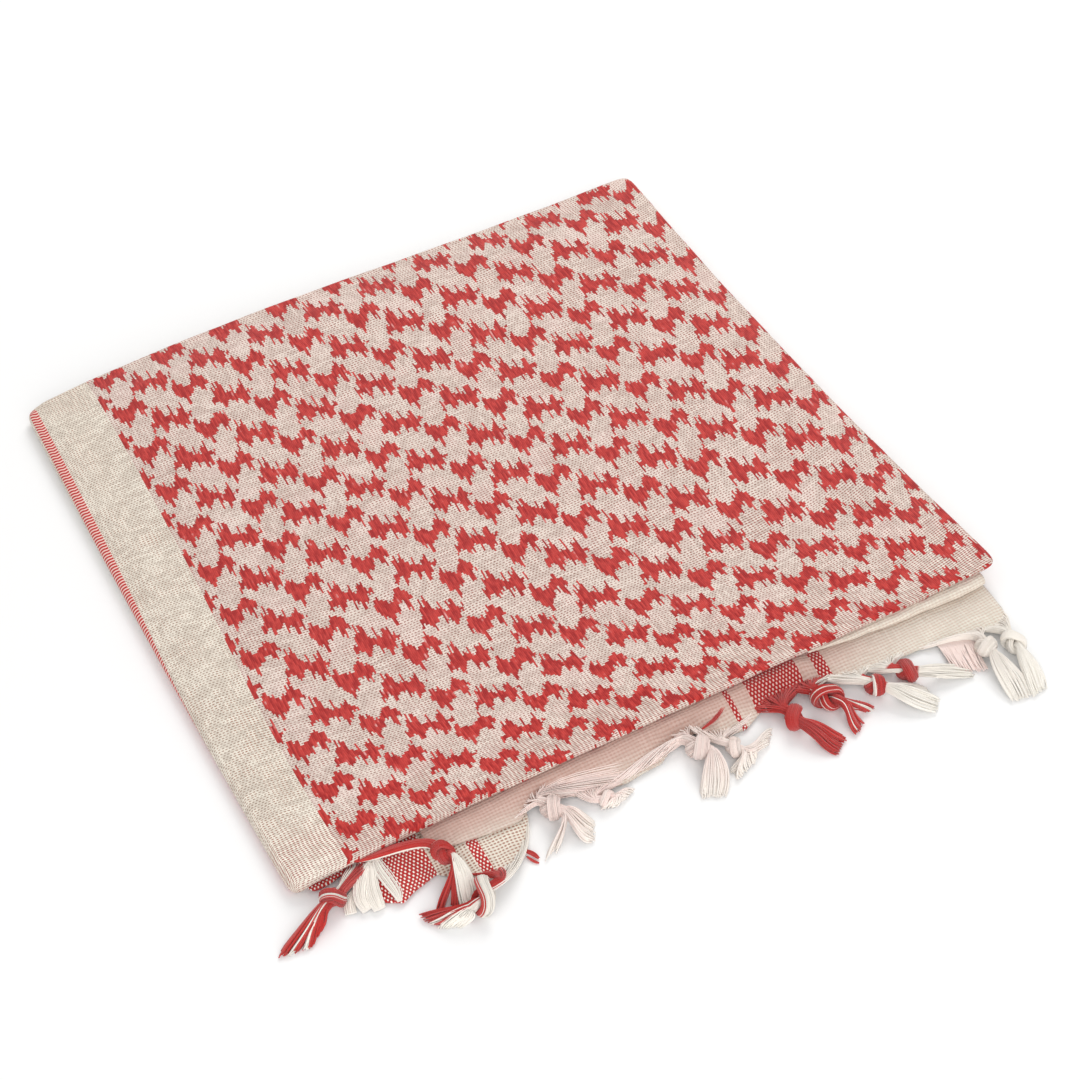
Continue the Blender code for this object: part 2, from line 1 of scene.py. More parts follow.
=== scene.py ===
"""Dresses the folded keffiyeh: its figured top cloth, folded layers, fringed edges and knotted yarns.

Every form is worked out in millimetres from the front left corner of the folded pad: X to the right
along its front edge, Y to the back, Z up from the surface it lies on. in_frame() then sets it on the
frame's pad, in metres.
"""

import json

import bpy
import numpy as np
from mathutils import Matrix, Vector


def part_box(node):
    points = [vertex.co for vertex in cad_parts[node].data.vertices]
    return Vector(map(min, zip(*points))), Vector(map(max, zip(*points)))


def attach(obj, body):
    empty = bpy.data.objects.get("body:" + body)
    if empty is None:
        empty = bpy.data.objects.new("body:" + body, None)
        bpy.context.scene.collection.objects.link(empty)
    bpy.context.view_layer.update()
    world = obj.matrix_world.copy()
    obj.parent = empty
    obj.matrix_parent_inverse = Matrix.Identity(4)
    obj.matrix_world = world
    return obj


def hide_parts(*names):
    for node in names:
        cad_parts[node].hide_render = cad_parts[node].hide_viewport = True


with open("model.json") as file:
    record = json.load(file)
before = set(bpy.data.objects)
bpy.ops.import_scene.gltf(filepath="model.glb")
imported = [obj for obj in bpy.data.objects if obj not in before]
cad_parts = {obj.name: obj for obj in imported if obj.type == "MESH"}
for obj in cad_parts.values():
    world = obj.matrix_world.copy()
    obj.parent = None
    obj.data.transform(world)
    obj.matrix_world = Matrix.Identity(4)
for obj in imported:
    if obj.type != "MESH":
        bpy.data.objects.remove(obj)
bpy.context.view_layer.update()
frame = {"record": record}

MM = 0.001

# --- Sizes of the folded pad, as in the solids, in millimetres ---
SIDE = 275.0  # a cloth 1100 mm square, folded to a quarter of its side each way
WALL = 1.0  # thickness of the top cloth
GAP = 0.35  # between layers that lie on each other
CORNER_POWER = 70.0  # how square the outline's corners are
FRONT_SETBACK = 13.5  # how far the hidden layers stand back at the front
FOLD_CLEARANCE = 0.5  # from the floor to the left fold's lower lip
# Height of the pad's top at these X and Y: rows Y, columns X
HEIGHT_X = (0.0, 60.0, 165.0, 275.0)
HEIGHT_Y = (0.0, 137.5, 275.0)
HEIGHT = (
    (5.5, 8.5, 9.5, 11.0),
    (5.5, 8.4, 7.6, 7.6),
    (6.0, 10.4, 9.6, 9.0),
)
BOW = (0.3, 2.2, -0.6, -0.8)  # how far in the middle of each side lies: front, right, back, left
# Thickness of the edge turned under, at the left and the right; then the line of its under side,
# as distances in from the rim and shares of the way down from the top layer
TURN_LEFT = 2.4
TURN_RIGHT = 3.1
UNDER_TURN = ((4.0, 1.0), (6.5, 0.62), (9.0, 0.25))

# The stack's soft crown: how far its middle stands above its edges, and over what width from each
CROWN_HEIGHT = 2.8
CROWN_WIDTHS = (36.0, 20.0, 24.0, 11.0)  # front, right, back, left
BORDER_STEP = (0.4, 17.0, 31.0)  # share of the crown the border lacks, and where it rises in X
# Soft creases of the top cloth. Columns: middle X, Y; turn of its line from Y, degrees; half
# length; half width; height, negative for a trough
CREASES = (
    (125.0, 203.0, 2.0, 40.0, 3.2, 0.32),
    (147.0, 62.0, -4.0, 22.0, 5.0, 0.28),
    (247.0, 104.0, 3.0, 26.0, 5.0, 0.22),
    (96.0, 180.0, 38.0, 26.0, 4.5, 0.16),
    (60.0, 230.0, -8.0, 30.0, 5.0, 0.22),
    (205.0, 175.0, 24.0, 40.0, 7.0, -0.18),
    (75.0, 95.0, -30.0, 36.0, 8.0, -0.16),
    (228.0, 232.0, 70.0, 30.0, 6.0, 0.18),
)

# --- The weave: how it lies on the pad, and the repeat of its red figure, charted in threads ---
THREAD = 0.65  # from one warp thread to the next, in millimetres
THREADS_ACROSS = 40  # threads in one repeat of the figure, across
THREADS_UP = 38  # the same length measured up the cloth, where floats end on one of its wefts
WEFTS_UP = 22
CELL = (0.475, 0.58, 1.0)  # cells of the ground, a pair of warps by one weft, for each thread unit
# How many repeats of the figure lie across and up the cloth, at places on the pad: rows Y, columns X
ACROSS_AT = ((0.0, 137.5, 275.0), (0.0, 35.0, 137.5, 275.0))
REPEATS_ACROSS = (
    (-5.03, 0.19, 5.48),
    (-5.00, 0.30, 5.56),
    (-5.16, 0.20, 5.42),
    (-5.29, 0.10, 5.34),
)
UP_AT = ((0.0, 60.0, 130.0, 200.0, 250.0, 275.0), (0.0, 30.0, 92.0, 184.0, 275.0))
REPEATS_UP = (
    (-6.38, -6.35, -6.35, -6.30, -6.32, -6.44),
    (-4.83, -4.47, -4.50, -4.53, -4.75, -5.10),
    (-2.09, -1.73, -1.78, -1.92, -2.12, -2.37),
    (1.88, 2.02, 2.00, 1.74, 1.52, 1.32),
    (5.60, 5.56, 5.41, 5.18, 5.10, 4.72),
)
# The figure's two shapes. For each thread from the first one on: where its red float ends at the
# bottom and at the top, in threads up from the tip of the bow's tail
BOW_FIRST = -6
BOW_SHAPE = (
    (12.5, 18.3), (12.0, 22.0), (6.2, 24.0), (6.2, 24.3), (6.0, 20.5), (-0.5, 20.4),
    (-0.5, 20.3), (6.0, 17.5), (6.2, 17.3), (6.8, 17.5), (7.3, 17.4), (8.0, 17.5),
    (12.3, 19.8), (12.8, 20.2), (12.3, 22.8), (13.3, 23.0), (7.2, 24.0), (7.7, 23.2),
    (4.6, 20.0), (12.3, 20.0), (12.7, 20.3), (12.2, 15.5),
)
CREST_FIRST = 11
CREST_SHAPE = (
    (-11.0, -9.5), (-9.8, -2.5), (-8.0, -3.3), (-8.0, -3.3), (-8.2, 4.3), (-8.3, 4.8),
    (-12.8, 10.7), (-14.3, 4.2), (-11.3, 8.5), (-11.3, 9.8), (-8.8, 6.2), (-8.2, -0.7),
    (-8.0, -0.7), (-8.0, -1.5), (-15.3, -1.8), (-11.5, 4.7), (-11.5, -3.7), (-12.0, -3.7),
    (-18.7, -4.0), (-18.5, -0.3), (-14.3, -0.3), (-15.0, 0.0), (-15.2, 2.7), (-9.0, -5.5),
    (-8.5, -6.5), (-8.6, -6.3), (-8.2, -6.0),
)
RAGGED = 3.4  # how far a float's ends stray, in threads
FIELD_EDGE = -170.0  # thread across at which the figured field starts
LOOSENESS = (0.38, 0.62)  # of the weave in the middle and at the front: how far its gaps open
LOOSER_BELOW = (-165.0, -235.0)  # threads up the cloth between which it grows looser
STRIPE_THREADS = (-212.5, -205.5)  # the narrow stripe in the plain border
STRIPE_BAR = 2.5  # threads up the cloth from one of its red bars to the next
# How far the figure is lifted in its chart, so that its float ends read above nothing
BOW_LIFT = 1.0
CREST_LIFT = 19.0
# How far from a yarn's middle the holes beside it begin, and where they are whole
WARP_COVERS = (0.20, 0.55)
WEFT_COVERS = (0.30, 0.60)
# Red bands woven across the fringed cloths, from and to, in millimetres along the edge
UPPER_BANDS = ((170.0, 190.0), (196.0, 200.0), (162.0, 163.2))
LOWER_BANDS = ((2.0, 45.0), (58.6, 62.0))

# --- Fringed edges, as in the solids. Columns: X, Y and Z of the cloth's edge ---
UPPER_EDGE = np.array((
    (47.0, -7.0, 4.2), (54.0, -9.0, 4.1), (70.0, -11.0, 4.0), (79.0, -10.5, 3.4), (85.0, -6.0, 2.6),
    (92.0, -5.0, 2.0), (99.0, -9.5, 1.6), (107.0, -12.0, 1.5), (117.0, -13.5, 1.5), (131.0, -12.0, 1.5),
    (139.0, -7.5, 1.8), (147.0, -7.0, 1.9), (154.0, -12.5, 1.5), (163.0, -14.0, 1.5),
    (169.0, -11.0, 1.6), (175.0, -8.5, 1.8), (190.0, -9.0, 1.7), (200.0, -10.5, 1.6),
    (210.0, -13.0, 1.5), (232.0, -14.0, 1.5), (245.0, -17.0, 1.5), (256.0, -18.5, 1.5),
    (261.0, -20.0, 1.5), (264.5, -19.2, 1.5), (268.0, -15.0, 1.5),
))
LOWER_EDGE = np.array((
    (24.5, -15.5, 1.5), (31.0, -20.0, 1.5), (36.0, -17.5, 1.5), (45.0, -15.0, 1.5), (51.0, -19.5, 1.5),
    (57.0, -24.0, 1.5), (64.0, -25.0, 1.5), (71.0, -22.5, 1.5), (78.0, -16.0, 1.5), (82.0, -10.0, 1.5),
))
CORNER_EDGE = np.array((
    (6.0, -0.8, 1.9), (10.0, -1.0, 2.0), (14.0, -0.6, 2.2), (21.0, 1.0, 2.3),
))
SHEET_BACK = 12.0  # how far these cloths reach in under the pad
LOWER_TOP = 3.5  # height of the lower one and of the corner scrap under the pad
CORNER_TOP = 2.4
CORNER_BACK = 0.55  # slope of the corner scrap's back edge
EDGE_THICK = 0.7
EDGE_CORNER = 2.0  # radius of these cloths' corners
LEVEL_SHARE = 0.3  # share of a fringed cloth that runs level before it falls
# The plain fold. Columns: X, how tall it is, and how far it stands out of the pad
INNER_FOLD = np.array((
    (197.0, 0.9, -1.0), (212.0, 2.0, 0.6), (230.0, 3.2, 1.8), (250.0, 4.1, 2.6), (264.0, 4.4, 3.0),
    (268.0, 4.0, 2.4),
))
FOLD_START = 192.0  # X from which the cloth below makes room for it

# --- Knotted yarns ---
# Columns: X, Y, Z of the root; X, Y and radius of the knot, and the height of what the knot lies on
TASSELS = {
    "01": (23.5, -2.8, 3.4, 11.3, -8.5, 4.6, 0.0),
    "02": (35.3, -2.2, 6.1, 49.5, -12.5, 4.0, 3.4),
    "03": (61.7, -27.4, 1.6, 54.0, -33.0, 4.4, 0.0),
    "04": (84.0, -8.6, 3.3, 89.5, -12.0, 4.2, 0.0),
    "05": (101.0, -12.6, 1.5, 107.5, -17.0, 2.6, 0.0),
    "06": (136.8, -10.9, 1.8, 144.0, -15.0, 4.6, 0.0),
    "07": (153.0, -13.8, 1.6, 154.6, -20.4, 3.4, 0.0),
    "08": (177.5, -10.2, 1.7, 178.3, -20.1, 4.4, 0.0),
    "09": (189.5, -11.0, 1.7, 192.6, -18.5, 4.5, 0.0),
    "10": (206.0, -14.2, 1.6, 209.7, -22.1, 4.2, 0.0),
    "11": (218.0, -15.6, 1.6, 222.3, -22.1, 4.0, 0.0),
    "12": (252.5, -18.5, 1.6, 251.5, -27.0, 4.2, 0.0),
    "13": (262.8, -20.15, 1.6, 260.8, -30.0, 3.9, 0.0),
}
# How each tassel is tied. Columns: X of the first and the last yarn drawn into it, and the edge
# they leave; turn of the knot about its line, degrees; hand of the knot; pink tinge; the side its
# red yarns come from, -1 for the left; how near the knot's turns are pressed, in rope widths
TYING = {
    "01": (20.0, 30.0, "hem low", 60.0, 1, 0.08, 0, 0.66),
    "02": (22.0, 34.0, "hem high", 70.0, -1, 0.05, 0, 0.72),
    "03": (52.0, 81.5, "lower", 10.0, -1, 0.08, -1, 1.15),
    "04": (76.0, 136.0, "upper", 40.0, 1, 0.6, 0, 0.85),
    "05": (99.0, 118.0, "upper", 0.0, -1, 0.65, 0, 0.8),
    "06": (106.0, 146.0, "upper", 65.0, 1, 0.6, 0, 0.85),
    "07": (146.0, 169.0, "upper", 20.0, 1, 0.45, 0, 0.8),
    "08": (169.5, 190.0, "upper", 0.0, 1, 0.1, 0, 0.72),
    "09": (185.0, 201.0, "upper", 30.0, -1, 0.1, -1, 0.9),
    "10": (196.0, 215.0, "upper", 50.0, 1, 0.08, -1, 0.75),
    "11": (210.0, 229.0, "upper", 15.0, 1, 0.08, 0, 0.8),
    "12": (230.0, 258.0, "upper", 75.0, 1, 0.18, 0, 0.8),
    "13": (255.0, 268.0, "upper", 35.0, -1, 0.06, 0, 0.8),
}
# The locks each tassel's end parts into. Columns: share of the yarns; X and Y of the lock's first
# and last tip; share of red yarns, and where across the lock the white ones lie
LOCKS = {
    "01": (
        (0.42, -13.0, -18.0, -6.4, -19.6, 0.7, 0.7),
        (0.3, -5.0, -19.6, -1.6, -19.6, 0.55, 0.25),
        (0.28, -0.4, -18.0, 3.6, -15.8, 1.0, 0.5),
    ),
    "02": (
        (0.22, 39.1, -27.4, 39.4, -30.4, 1.0, 0.5),
        (0.22, 43.5, -28.6, 44.4, -31.9, 1.0, 0.5),
        (0.56, 46.7, -32.4, 52.6, -30.8, 0.0, 0.5),
    ),
    "03": (
        (0.34, 34.0, -26.7, 34.8, -30.3, 1.0, 0.5),
        (0.2, 35.2, -31.0, 36.1, -32.9, 0.6, 0.2),
        (0.46, 36.1, -34.3, 43.4, -37.7, 0.0, 0.5),
    ),
    "04": (
        (0.22, 78.2, -27.8, 82.7, -25.2, 0.0, 0.5),
        (0.2, 83.1, -27.4, 86.7, -23.6, 0.0, 0.5),
        (0.58, 95.0, -29.9, 99.6, -22.0, 0.0, 0.5),
    ),
    "05": (
        (0.45, 105.0, -18.8, 110.1, -19.9, 0.0, 0.5),
        (0.55, 113.0, -18.6, 117.7, -16.5, 0.0, 0.5),
    ),
    "06": (
        (1.0, 136.0, -31.5, 143.0, -34.7, 0.0, 0.5),
    ),
    "07": (
        (0.13, 149.1, -26.9, 150.1, -29.0, 0.0, 0.5),
        (0.45, 149.6, -31.2, 159.7, -26.7, 0.0, 0.5),
        (0.42, 166.2, -23.0, 170.5, -17.9, 0.0, 0.5),
    ),
    "08": (
        (1.0, 183.2, -38.9, 190.2, -34.0, 1.0, 0.5),
    ),
    "09": (
        (0.62, 193.3, -34.8, 198.4, -31.7, 0.9, 0.3),
        (0.24, 202.3, -28.8, 205.5, -27.6, 0.6, 0.5),
        (0.14, 201.2, -22.9, 202.8, -22.3, 1.0, 0.5),
    ),
    "10": (
        (0.8, 221.3, -40.4, 225.5, -36.2, 0.0, 0.5),
        (0.2, 223.9, -34.1, 225.2, -29.6, 0.0, 0.5),
    ),
    "11": (
        (0.6, 241.4, -34.1, 241.7, -30.6, 0.0, 0.5),
        (0.4, 240.5, -28.7, 240.1, -26.3, 0.0, 0.5),
    ),
    "12": (
        (1.0, 247.0, -49.5, 254.0, -50.8, 0.0, 0.5),
    ),
    "13": (
        (1.0, 254.5, -51.2, 260.5, -50.2, 0.0, 0.5),
    ),
}
# Share of a white tassel's yarns that are dyed red where they wrap its knot
WRAPPED = {"10": 0.45, "11": 0.85, "02": 0.6}
# Yarns drawn out of the cloth on their own. Columns: tassel they lie by, number, half width, red
# share, then X, Y, Z of points along them
STRANDS = (
    ("06", 12, 0.8, 1.0, (163.3, -1.5, 5.4), (159.0, -4.6, 4.8), (154.5, -7.0, 4.2), (149.0, -8.6, 4.4)),
    ("04", 12, 0.9, 1.0, (74.0, -21.0, 1.6), (76.0, -23.6, 1.2), (77.2, -26.0, 0.6)),
    ("04", 6, 0.4, 1.0, (74.0, -23.5, 1.0), (75.2, -26.0, 0.6), (76.4, -27.6, 0.4)),
)
STRAND_STEPS = 16
HEM_Y = 2.5  # where yarns start that come from under the pad
HEMS = {"hem low": 2.6, "hem high": 5.4}  # how high they lie there
YARN_RADIUS = 0.19
YARN_SIDES = 3
YARNS_EACH = 116
YARN_PLACES_APART = 37.0  # keeps the twist of neighbouring yarns out of step
YARNS_SUNK = 0.7  # how deep yarns lie in the fringed cloth where they start
LEAD_STEPS, TAIL_STEPS = 13, 17  # points along a yarn before and after its knot
KNOT_FLAT = (0.30, 0.30)  # how much each turn is thinned towards the knot's middle, and widened
KNOT_TWIST = 1.6  # how far the yarns turn about each other through the knot, radians
PETAL = 0.5  # how much wider an undyed lock is halfway than straight yarns would make it
RED_PETAL = 0.2  # the same for a lock with dyed yarns
ROPE_SHARE = 0.40  # radius of the gathered yarns as a share of the knot's radius
KNOT_SPAN = 1.75  # how far the knot's own line is used each way, in rope widths
FRINGE_REACH = 4.5  # how far onto the cloth the drawn yarns begin
FLOOR_CLEAR = 0.2  # least gap between the floor and a yarn's line, beside its radius
LEAST_HEIGHT = 0.05  # of any point of a yarn

# Plain fringe without knots: X of its first and last yarn, then X, Y of the first and last tip
LOOSE_FRINGE = ((239.0, 251.5), (237.8, -29.5), (248.0, -33.5))
LOOSE_COUNT, LOOSE_STEPS = 64, 24

# The hank of white yarns: two lobes, a short flap and a thin open band over the red cloth. Columns:
# number of yarns, their radius, then X, Y, Z of the line, half width, half height
LOOPS = (
    (64, 0.3, (
        (28.6, -0.6, 3.4, 0.9, 0.7), (24.0, -4.6, 3.4, 2.6, 1.0), (20.8, -9.0, 3.0, 2.6, 1.2),
        (19.4, -13.0, 2.4, 2.4, 1.2), (19.6, -16.6, 1.3, 1.8, 0.8),
    )),
    (64, 0.3, (
        (28.6, -0.6, 3.4, 0.9, 0.7), (26.2, -5.0, 3.6, 2.2, 1.0), (24.4, -9.6, 3.2, 2.4, 1.2),
        (23.4, -14.0, 2.4, 2.6, 1.2), (23.2, -18.2, 1.3, 2.0, 0.8),
    )),
    (30, 0.26, (
        (19.0, -7.5, 1.6, 1.0, 0.4), (15.8, -10.6, 1.2, 2.0, 0.4), (14.4, -14.8, 0.8, 2.0, 0.3),
    )),
    (20, 0.17, (
        (29.8, -0.8, 5.0, 1.2, 0.3), (29.4, -6.0, 4.5, 2.4, 0.2), (29.9, -11.0, 4.0, 2.6, 0.2),
        (30.4, -16.0, 3.0, 2.0, 0.2), (30.0, -19.2, 1.9, 0.8, 0.2),
    )),
)
HANK_STEPS = 24

# --- Colours, linear ---
# _LOW is painted shade between yarns; HOLE_ is what shows through the gaps of the weave: what lies below,
# darkened with painted shade
CREAM = (0.86, 0.79, 0.68)
OPEN_LOW = (0.44, 0.33, 0.26)
HOLE_OPEN = (0.36, 0.09, 0.07)
OPEN_PAINTED_LIGHT = (0.97, 0.91, 0.80)  # painted light: a paler cream where the weave is open, for the light that comes through it
CREAM_LOW = (0.30, 0.21, 0.16)
FIELD_CREAM = (0.80, 0.69, 0.61)
FIELD_LOW = (0.26, 0.13, 0.10)
HOLE_CREAM = (0.40, 0.20, 0.14)
HOLE_FIELD = (0.34, 0.10, 0.08)
EDGE_CREAM = (0.83, 0.79, 0.69)
EDGE_LOW = (0.63, 0.55, 0.46)
HOLE_EDGE = (0.70, 0.57, 0.48)
# painted shade between the yarns of the hidden layers and the lower cloths
LAYER_LOW = (0.60, 0.51, 0.43)
RED = (0.50, 0.014, 0.011)
LIGHT_RED = (0.60, 0.045, 0.036)
DEEP_RED = (0.36, 0.008, 0.008)
WHITE = (0.98, 0.94, 0.86)
PINK = (0.94, 0.70, 0.66)
STRIPE_GAP = (0.93, 0.64, 0.57)  # the cream weft between the stripe's red bars, tinged by them
FOLD_PAINTED_SHADE = (0.72, 0.52, 0.51)  # pinkish painted shade: how far the fringed cloth is darkened where it goes under the fold

# --- The camera, seen from the pad's front left corner, and the light ---
CAMERA_LOOKS_AT = (141.92, 98.05, 8.0)
CAMERA_DISTANCE = 881.5
CAMERA_AZIMUTH = 22.29
CAMERA_ELEVATION = 44.88
CAMERA_ROLL = -6.87
LENS = 80.13
SENSOR = 36.0
SURROUND = 0.62  # strength of the even light from all round
BACK_LIGHT = ((0.7, 0.8, 1.0), 0.8, 9.5, (1.0, 0.99, 0.97))  # place, size, power, colour
FRONT_LIGHT = ((-0.3, -1.2, 0.7), 1.2, 11.0, (1.0, 1.0, 1.0))
FLOOR_COLOUR = (0.93, 0.93, 0.93, 1.0)
FLOOR_HALF = 3.0

PI = float(np.pi)


# --- Working out shapes ---
def smooth(value, low, high):
    """0 below low, 1 above high, and the cubic s-curve between them."""
    share = np.clip((value - low) / (high - low), 0.0, 1.0)
    return share * share * (3.0 - 2.0 * share)


def unit(vectors):
    return vectors / np.maximum(np.linalg.norm(vectors, axis=-1, keepdims=True), 1e-9)


def lagrange(at, knots):
    """Weights of the polynomial through the knots, at each value."""
    at = np.asarray(at, float)
    weights = []
    for i, knot in enumerate(knots):
        weight = np.ones_like(at)
        for j, other in enumerate(knots):
            if j != i:
                weight = weight * (at - other) / (knot - other)
        weights.append(weight)
    return np.array(weights)


def spline_weights(at, knots):
    """Weights of the natural cubic spline through the knots, at each value, on the first axis."""
    knots = np.asarray(knots, float)
    count = len(knots)
    step = np.diff(knots)
    left, right = np.eye(count), np.zeros((count, count))
    for i in range(1, count - 1):
        left[i, i - 1 : i + 2] = step[i - 1], 2.0 * (step[i - 1] + step[i]), step[i]
        right[i, i - 1 : i + 2] = 6.0 / step[i - 1], -6.0 / step[i - 1] - 6.0 / step[i], 6.0 / step[i]
    bend = np.linalg.solve(left, right)
    at = np.asarray(at, float)
    i = np.clip(np.searchsorted(knots, at) - 1, 0, count - 2)
    far = ((knots[i + 1] - at) / step[i])[..., None]
    near = 1.0 - far
    one = np.eye(count)
    curve = (far**3 - far) * bend[i] + (near**3 - near) * bend[i + 1]
    return np.moveaxis(far * one[i] + near * one[i + 1] + curve * (step[i] ** 2)[..., None] / 6.0, -1, 0)


def over_table(along, back, table):
    """A table's values weighed along its columns and back along its rows."""
    return np.einsum("i...,j...,ji->...", along, back, np.array(table))


def laid(x, y, at, table):
    """The spline surface through a table whose rows are Y and columns X."""
    return over_table(spline_weights(x, at[0]), spline_weights(y, at[1]), table)


def top_height(x, y):
    """Height of the solid's top: the polynomial surface through the table of heights."""
    x, y = np.clip(x, 0.0, SIDE), np.clip(y, 0.0, SIDE)
    return over_table(lagrange(x, HEIGHT_X), lagrange(y, HEIGHT_Y), HEIGHT)


def turn_thickness(x):
    return TURN_LEFT + (TURN_RIGHT - TURN_LEFT) * np.clip(x / SIDE, 0.0, 1.0)


def crown(x, y):
    """Rise over the solid's top, nothing at its rim: an s-curve in from each edge, multiplied, with
    the step along the border; then soft ridges, a bell across each one's line, and a slow wave."""
    rise = 1.0 - BORDER_STEP[0] * (1.0 - smooth(x, *BORDER_STEP[1:]))
    inner = np.ones_like(x)
    for distance, width in zip((y, SIDE - x, SIDE - y, x), CROWN_WIDTHS):
        rise = rise * smooth(distance, 0.0, width)
        inner = inner * smooth(distance, 0.0, 6.0)
    rise = rise * CROWN_HEIGHT
    for middle_x, middle_y, turn, half_length, half_width, height in CREASES:
        angle = np.radians(turn)
        along = (x - middle_x) * np.sin(angle) + (y - middle_y) * np.cos(angle)
        across = (x - middle_x) * np.cos(angle) - (y - middle_y) * np.sin(angle)
        bell = np.exp(-((across / half_width) ** 2) - (along / half_length) ** 4)
        rise = rise + inner * height * bell
    slow = np.sin(x / 23.0 + 0.8 * np.sin(y / 41.0)) * np.sin(y / 31.0 + 0.9 * np.sin(x / 37.0))
    return rise + 0.14 * inner * slow


def thread_count(x, y):
    """Threads across and up the cloth at a place on the pad, stacked in the last axis."""
    across = laid(x, y, ACROSS_AT, REPEATS_ACROSS) * THREADS_ACROSS
    up = laid(x, y, UP_AT, REPEATS_UP) * THREADS_UP
    return np.stack([across, up], axis=-1)


def plan(u, v, rim, inset):
    """X and Y of places in the outline: u and v run from -1 to 1, rim is 1 on the outline itself.

    Each square round the middle is drawn as a superellipse, and its sides bow a little."""
    reach = np.maximum(rim, 1e-9)
    norm = np.abs(u / reach) ** CORNER_POWER + np.abs(v / reach) ** CORNER_POWER
    norm = np.where(rim > 0.0, norm ** (1.0 / CORNER_POWER), 1.0)
    u = u / norm
    v = v / norm
    bow_x = (BOW[3] * smooth(-u, 0.3, 1.0) - BOW[1] * smooth(u, 0.3, 1.0)) * (1.0 - v * v)
    bow_y = (BOW[0] * smooth(-v, 0.3, 1.0) - BOW[2] * smooth(v, 0.3, 1.0)) * (1.0 - u * u)
    half = SIDE / 2.0 - inset
    return SIDE / 2.0 + half * u + bow_x, SIDE / 2.0 + half * v + bow_y


def square_rim(count):
    """u and v round the square, counterclockwise from the front left, and its outward direction."""
    run = np.linspace(-1.0, 1.0, count)[:-1]
    one = np.ones_like(run)
    u = np.concatenate([run, one, -run, -one])
    v = np.concatenate([-one, run, one, -run])
    reach_u = smooth(np.abs(u), 0.985, 1.0) * np.sign(u)
    reach_v = smooth(np.abs(v), 0.985, 1.0) * np.sign(v)
    return u, v, unit(np.stack([reach_u, reach_v], axis=1))


def half_round(radius, angles, wall=0.0):
    """Insets and drops of a round edge at angles from its top, or of the inside of its wall."""
    inner = radius - wall
    return np.stack([radius - inner * np.sin(angles), radius - inner * np.cos(angles)])


def turned_profile(thick, angles):
    """The edge turned under: insets and drops of a round nose, then of its under side."""
    inset, share = np.array(UNDER_TURN).T[:, :, None]
    below = np.stack([inset + 0.0 * thick, WALL + share * (thick - WALL)])
    return np.concatenate([half_round(thick / 2.0, angles), below], axis=1)


def fold_profile(height, angles):
    """The left fold: a half circle round the stack that stops near the surface, then its inside."""
    radius = (height - FOLD_CLEARANCE) / 2.0
    inside = np.radians((150.0, 90.0, 30.0))[:, None]
    return np.concatenate([half_round(radius, angles), half_round(radius, inside, WALL)], axis=1)


def left_share(rim_x):
    """1 at the pad's left fold, nothing on its other three sides."""
    return 1.0 - smooth(rim_x, 1.0, 9.0)


def read(table, x, column):
    """A column of a table at X, straight between its rows, whose first column is X."""
    return np.interp(x, table[:, 0], table[:, column])


def upper_sheet_top(x):
    """Z of the fringed edge below the turned edge, lower under the plain fold."""
    free = top_height(x, 0.0 * x) - turn_thickness(x) - GAP
    return free - smooth(x, FOLD_START, INNER_FOLD[0, 0]) * (read(INNER_FOLD, x, 1) + GAP)


def level(value):
    return lambda x: np.full_like(x, value)


# Each fringed cloth's edge, and the height that its cloth falls from
EDGES = {
    "upper": (UPPER_EDGE, upper_sheet_top),
    "lower": (LOWER_EDGE, level(LOWER_TOP)),
    "corner": (CORNER_EDGE, level(CORNER_TOP)),
}


# --- Making meshes ---
def grid_quads(rows, columns, closed=False):
    """Quads between neighbouring points of a grid; closed joins the last column to the first."""
    across = np.arange(columns if closed else columns - 1)
    r, c = np.meshgrid(np.arange(rows - 1), across, indexing="ij")
    here = r * columns + c
    beside = r * columns + (c + 1) % columns
    return np.stack([here, beside, beside + columns, here + columns], axis=-1).reshape(-1, 4)


def grid_rim(rows, columns):
    """Numbers of the points round a grid's rim, counterclockwise from the first one."""
    index = np.arange(rows * columns).reshape(rows, columns)
    return np.concatenate([index[0, :-1], index[:-1, -1], index[-1, :0:-1], index[:0:-1, 0]])


def way_along(points, axis=0):
    """Way covered from the first point to each one along an axis of a grid of points."""
    steps = np.linalg.norm(np.diff(points, axis=axis), axis=-1)
    return np.insert(np.cumsum(steps, axis=axis), 0, 0.0, axis=axis)


def ringed_body(rings, cloth, turn=1):
    """Points, quads, weave place and end caps of a body from its closed rings; turn is -1 where
    the rings run the other way round, so that the faces look outwards."""
    count, size, _ = rings.shape
    loops = np.arange(count * size).reshape(count, size)
    quads = grid_quads(count, size, closed=True)[:, ::turn]
    caps = np.stack([loops[0][::-turn], loops[-1][::turn]])
    return rings.reshape(-1, 3), quads, cloth.reshape(-1, 2), caps


def in_scene(name, data):
    """A new object with this data, put in the scene."""
    obj = bpy.data.objects.new(name, data)
    bpy.context.scene.collection.objects.link(obj)
    return obj


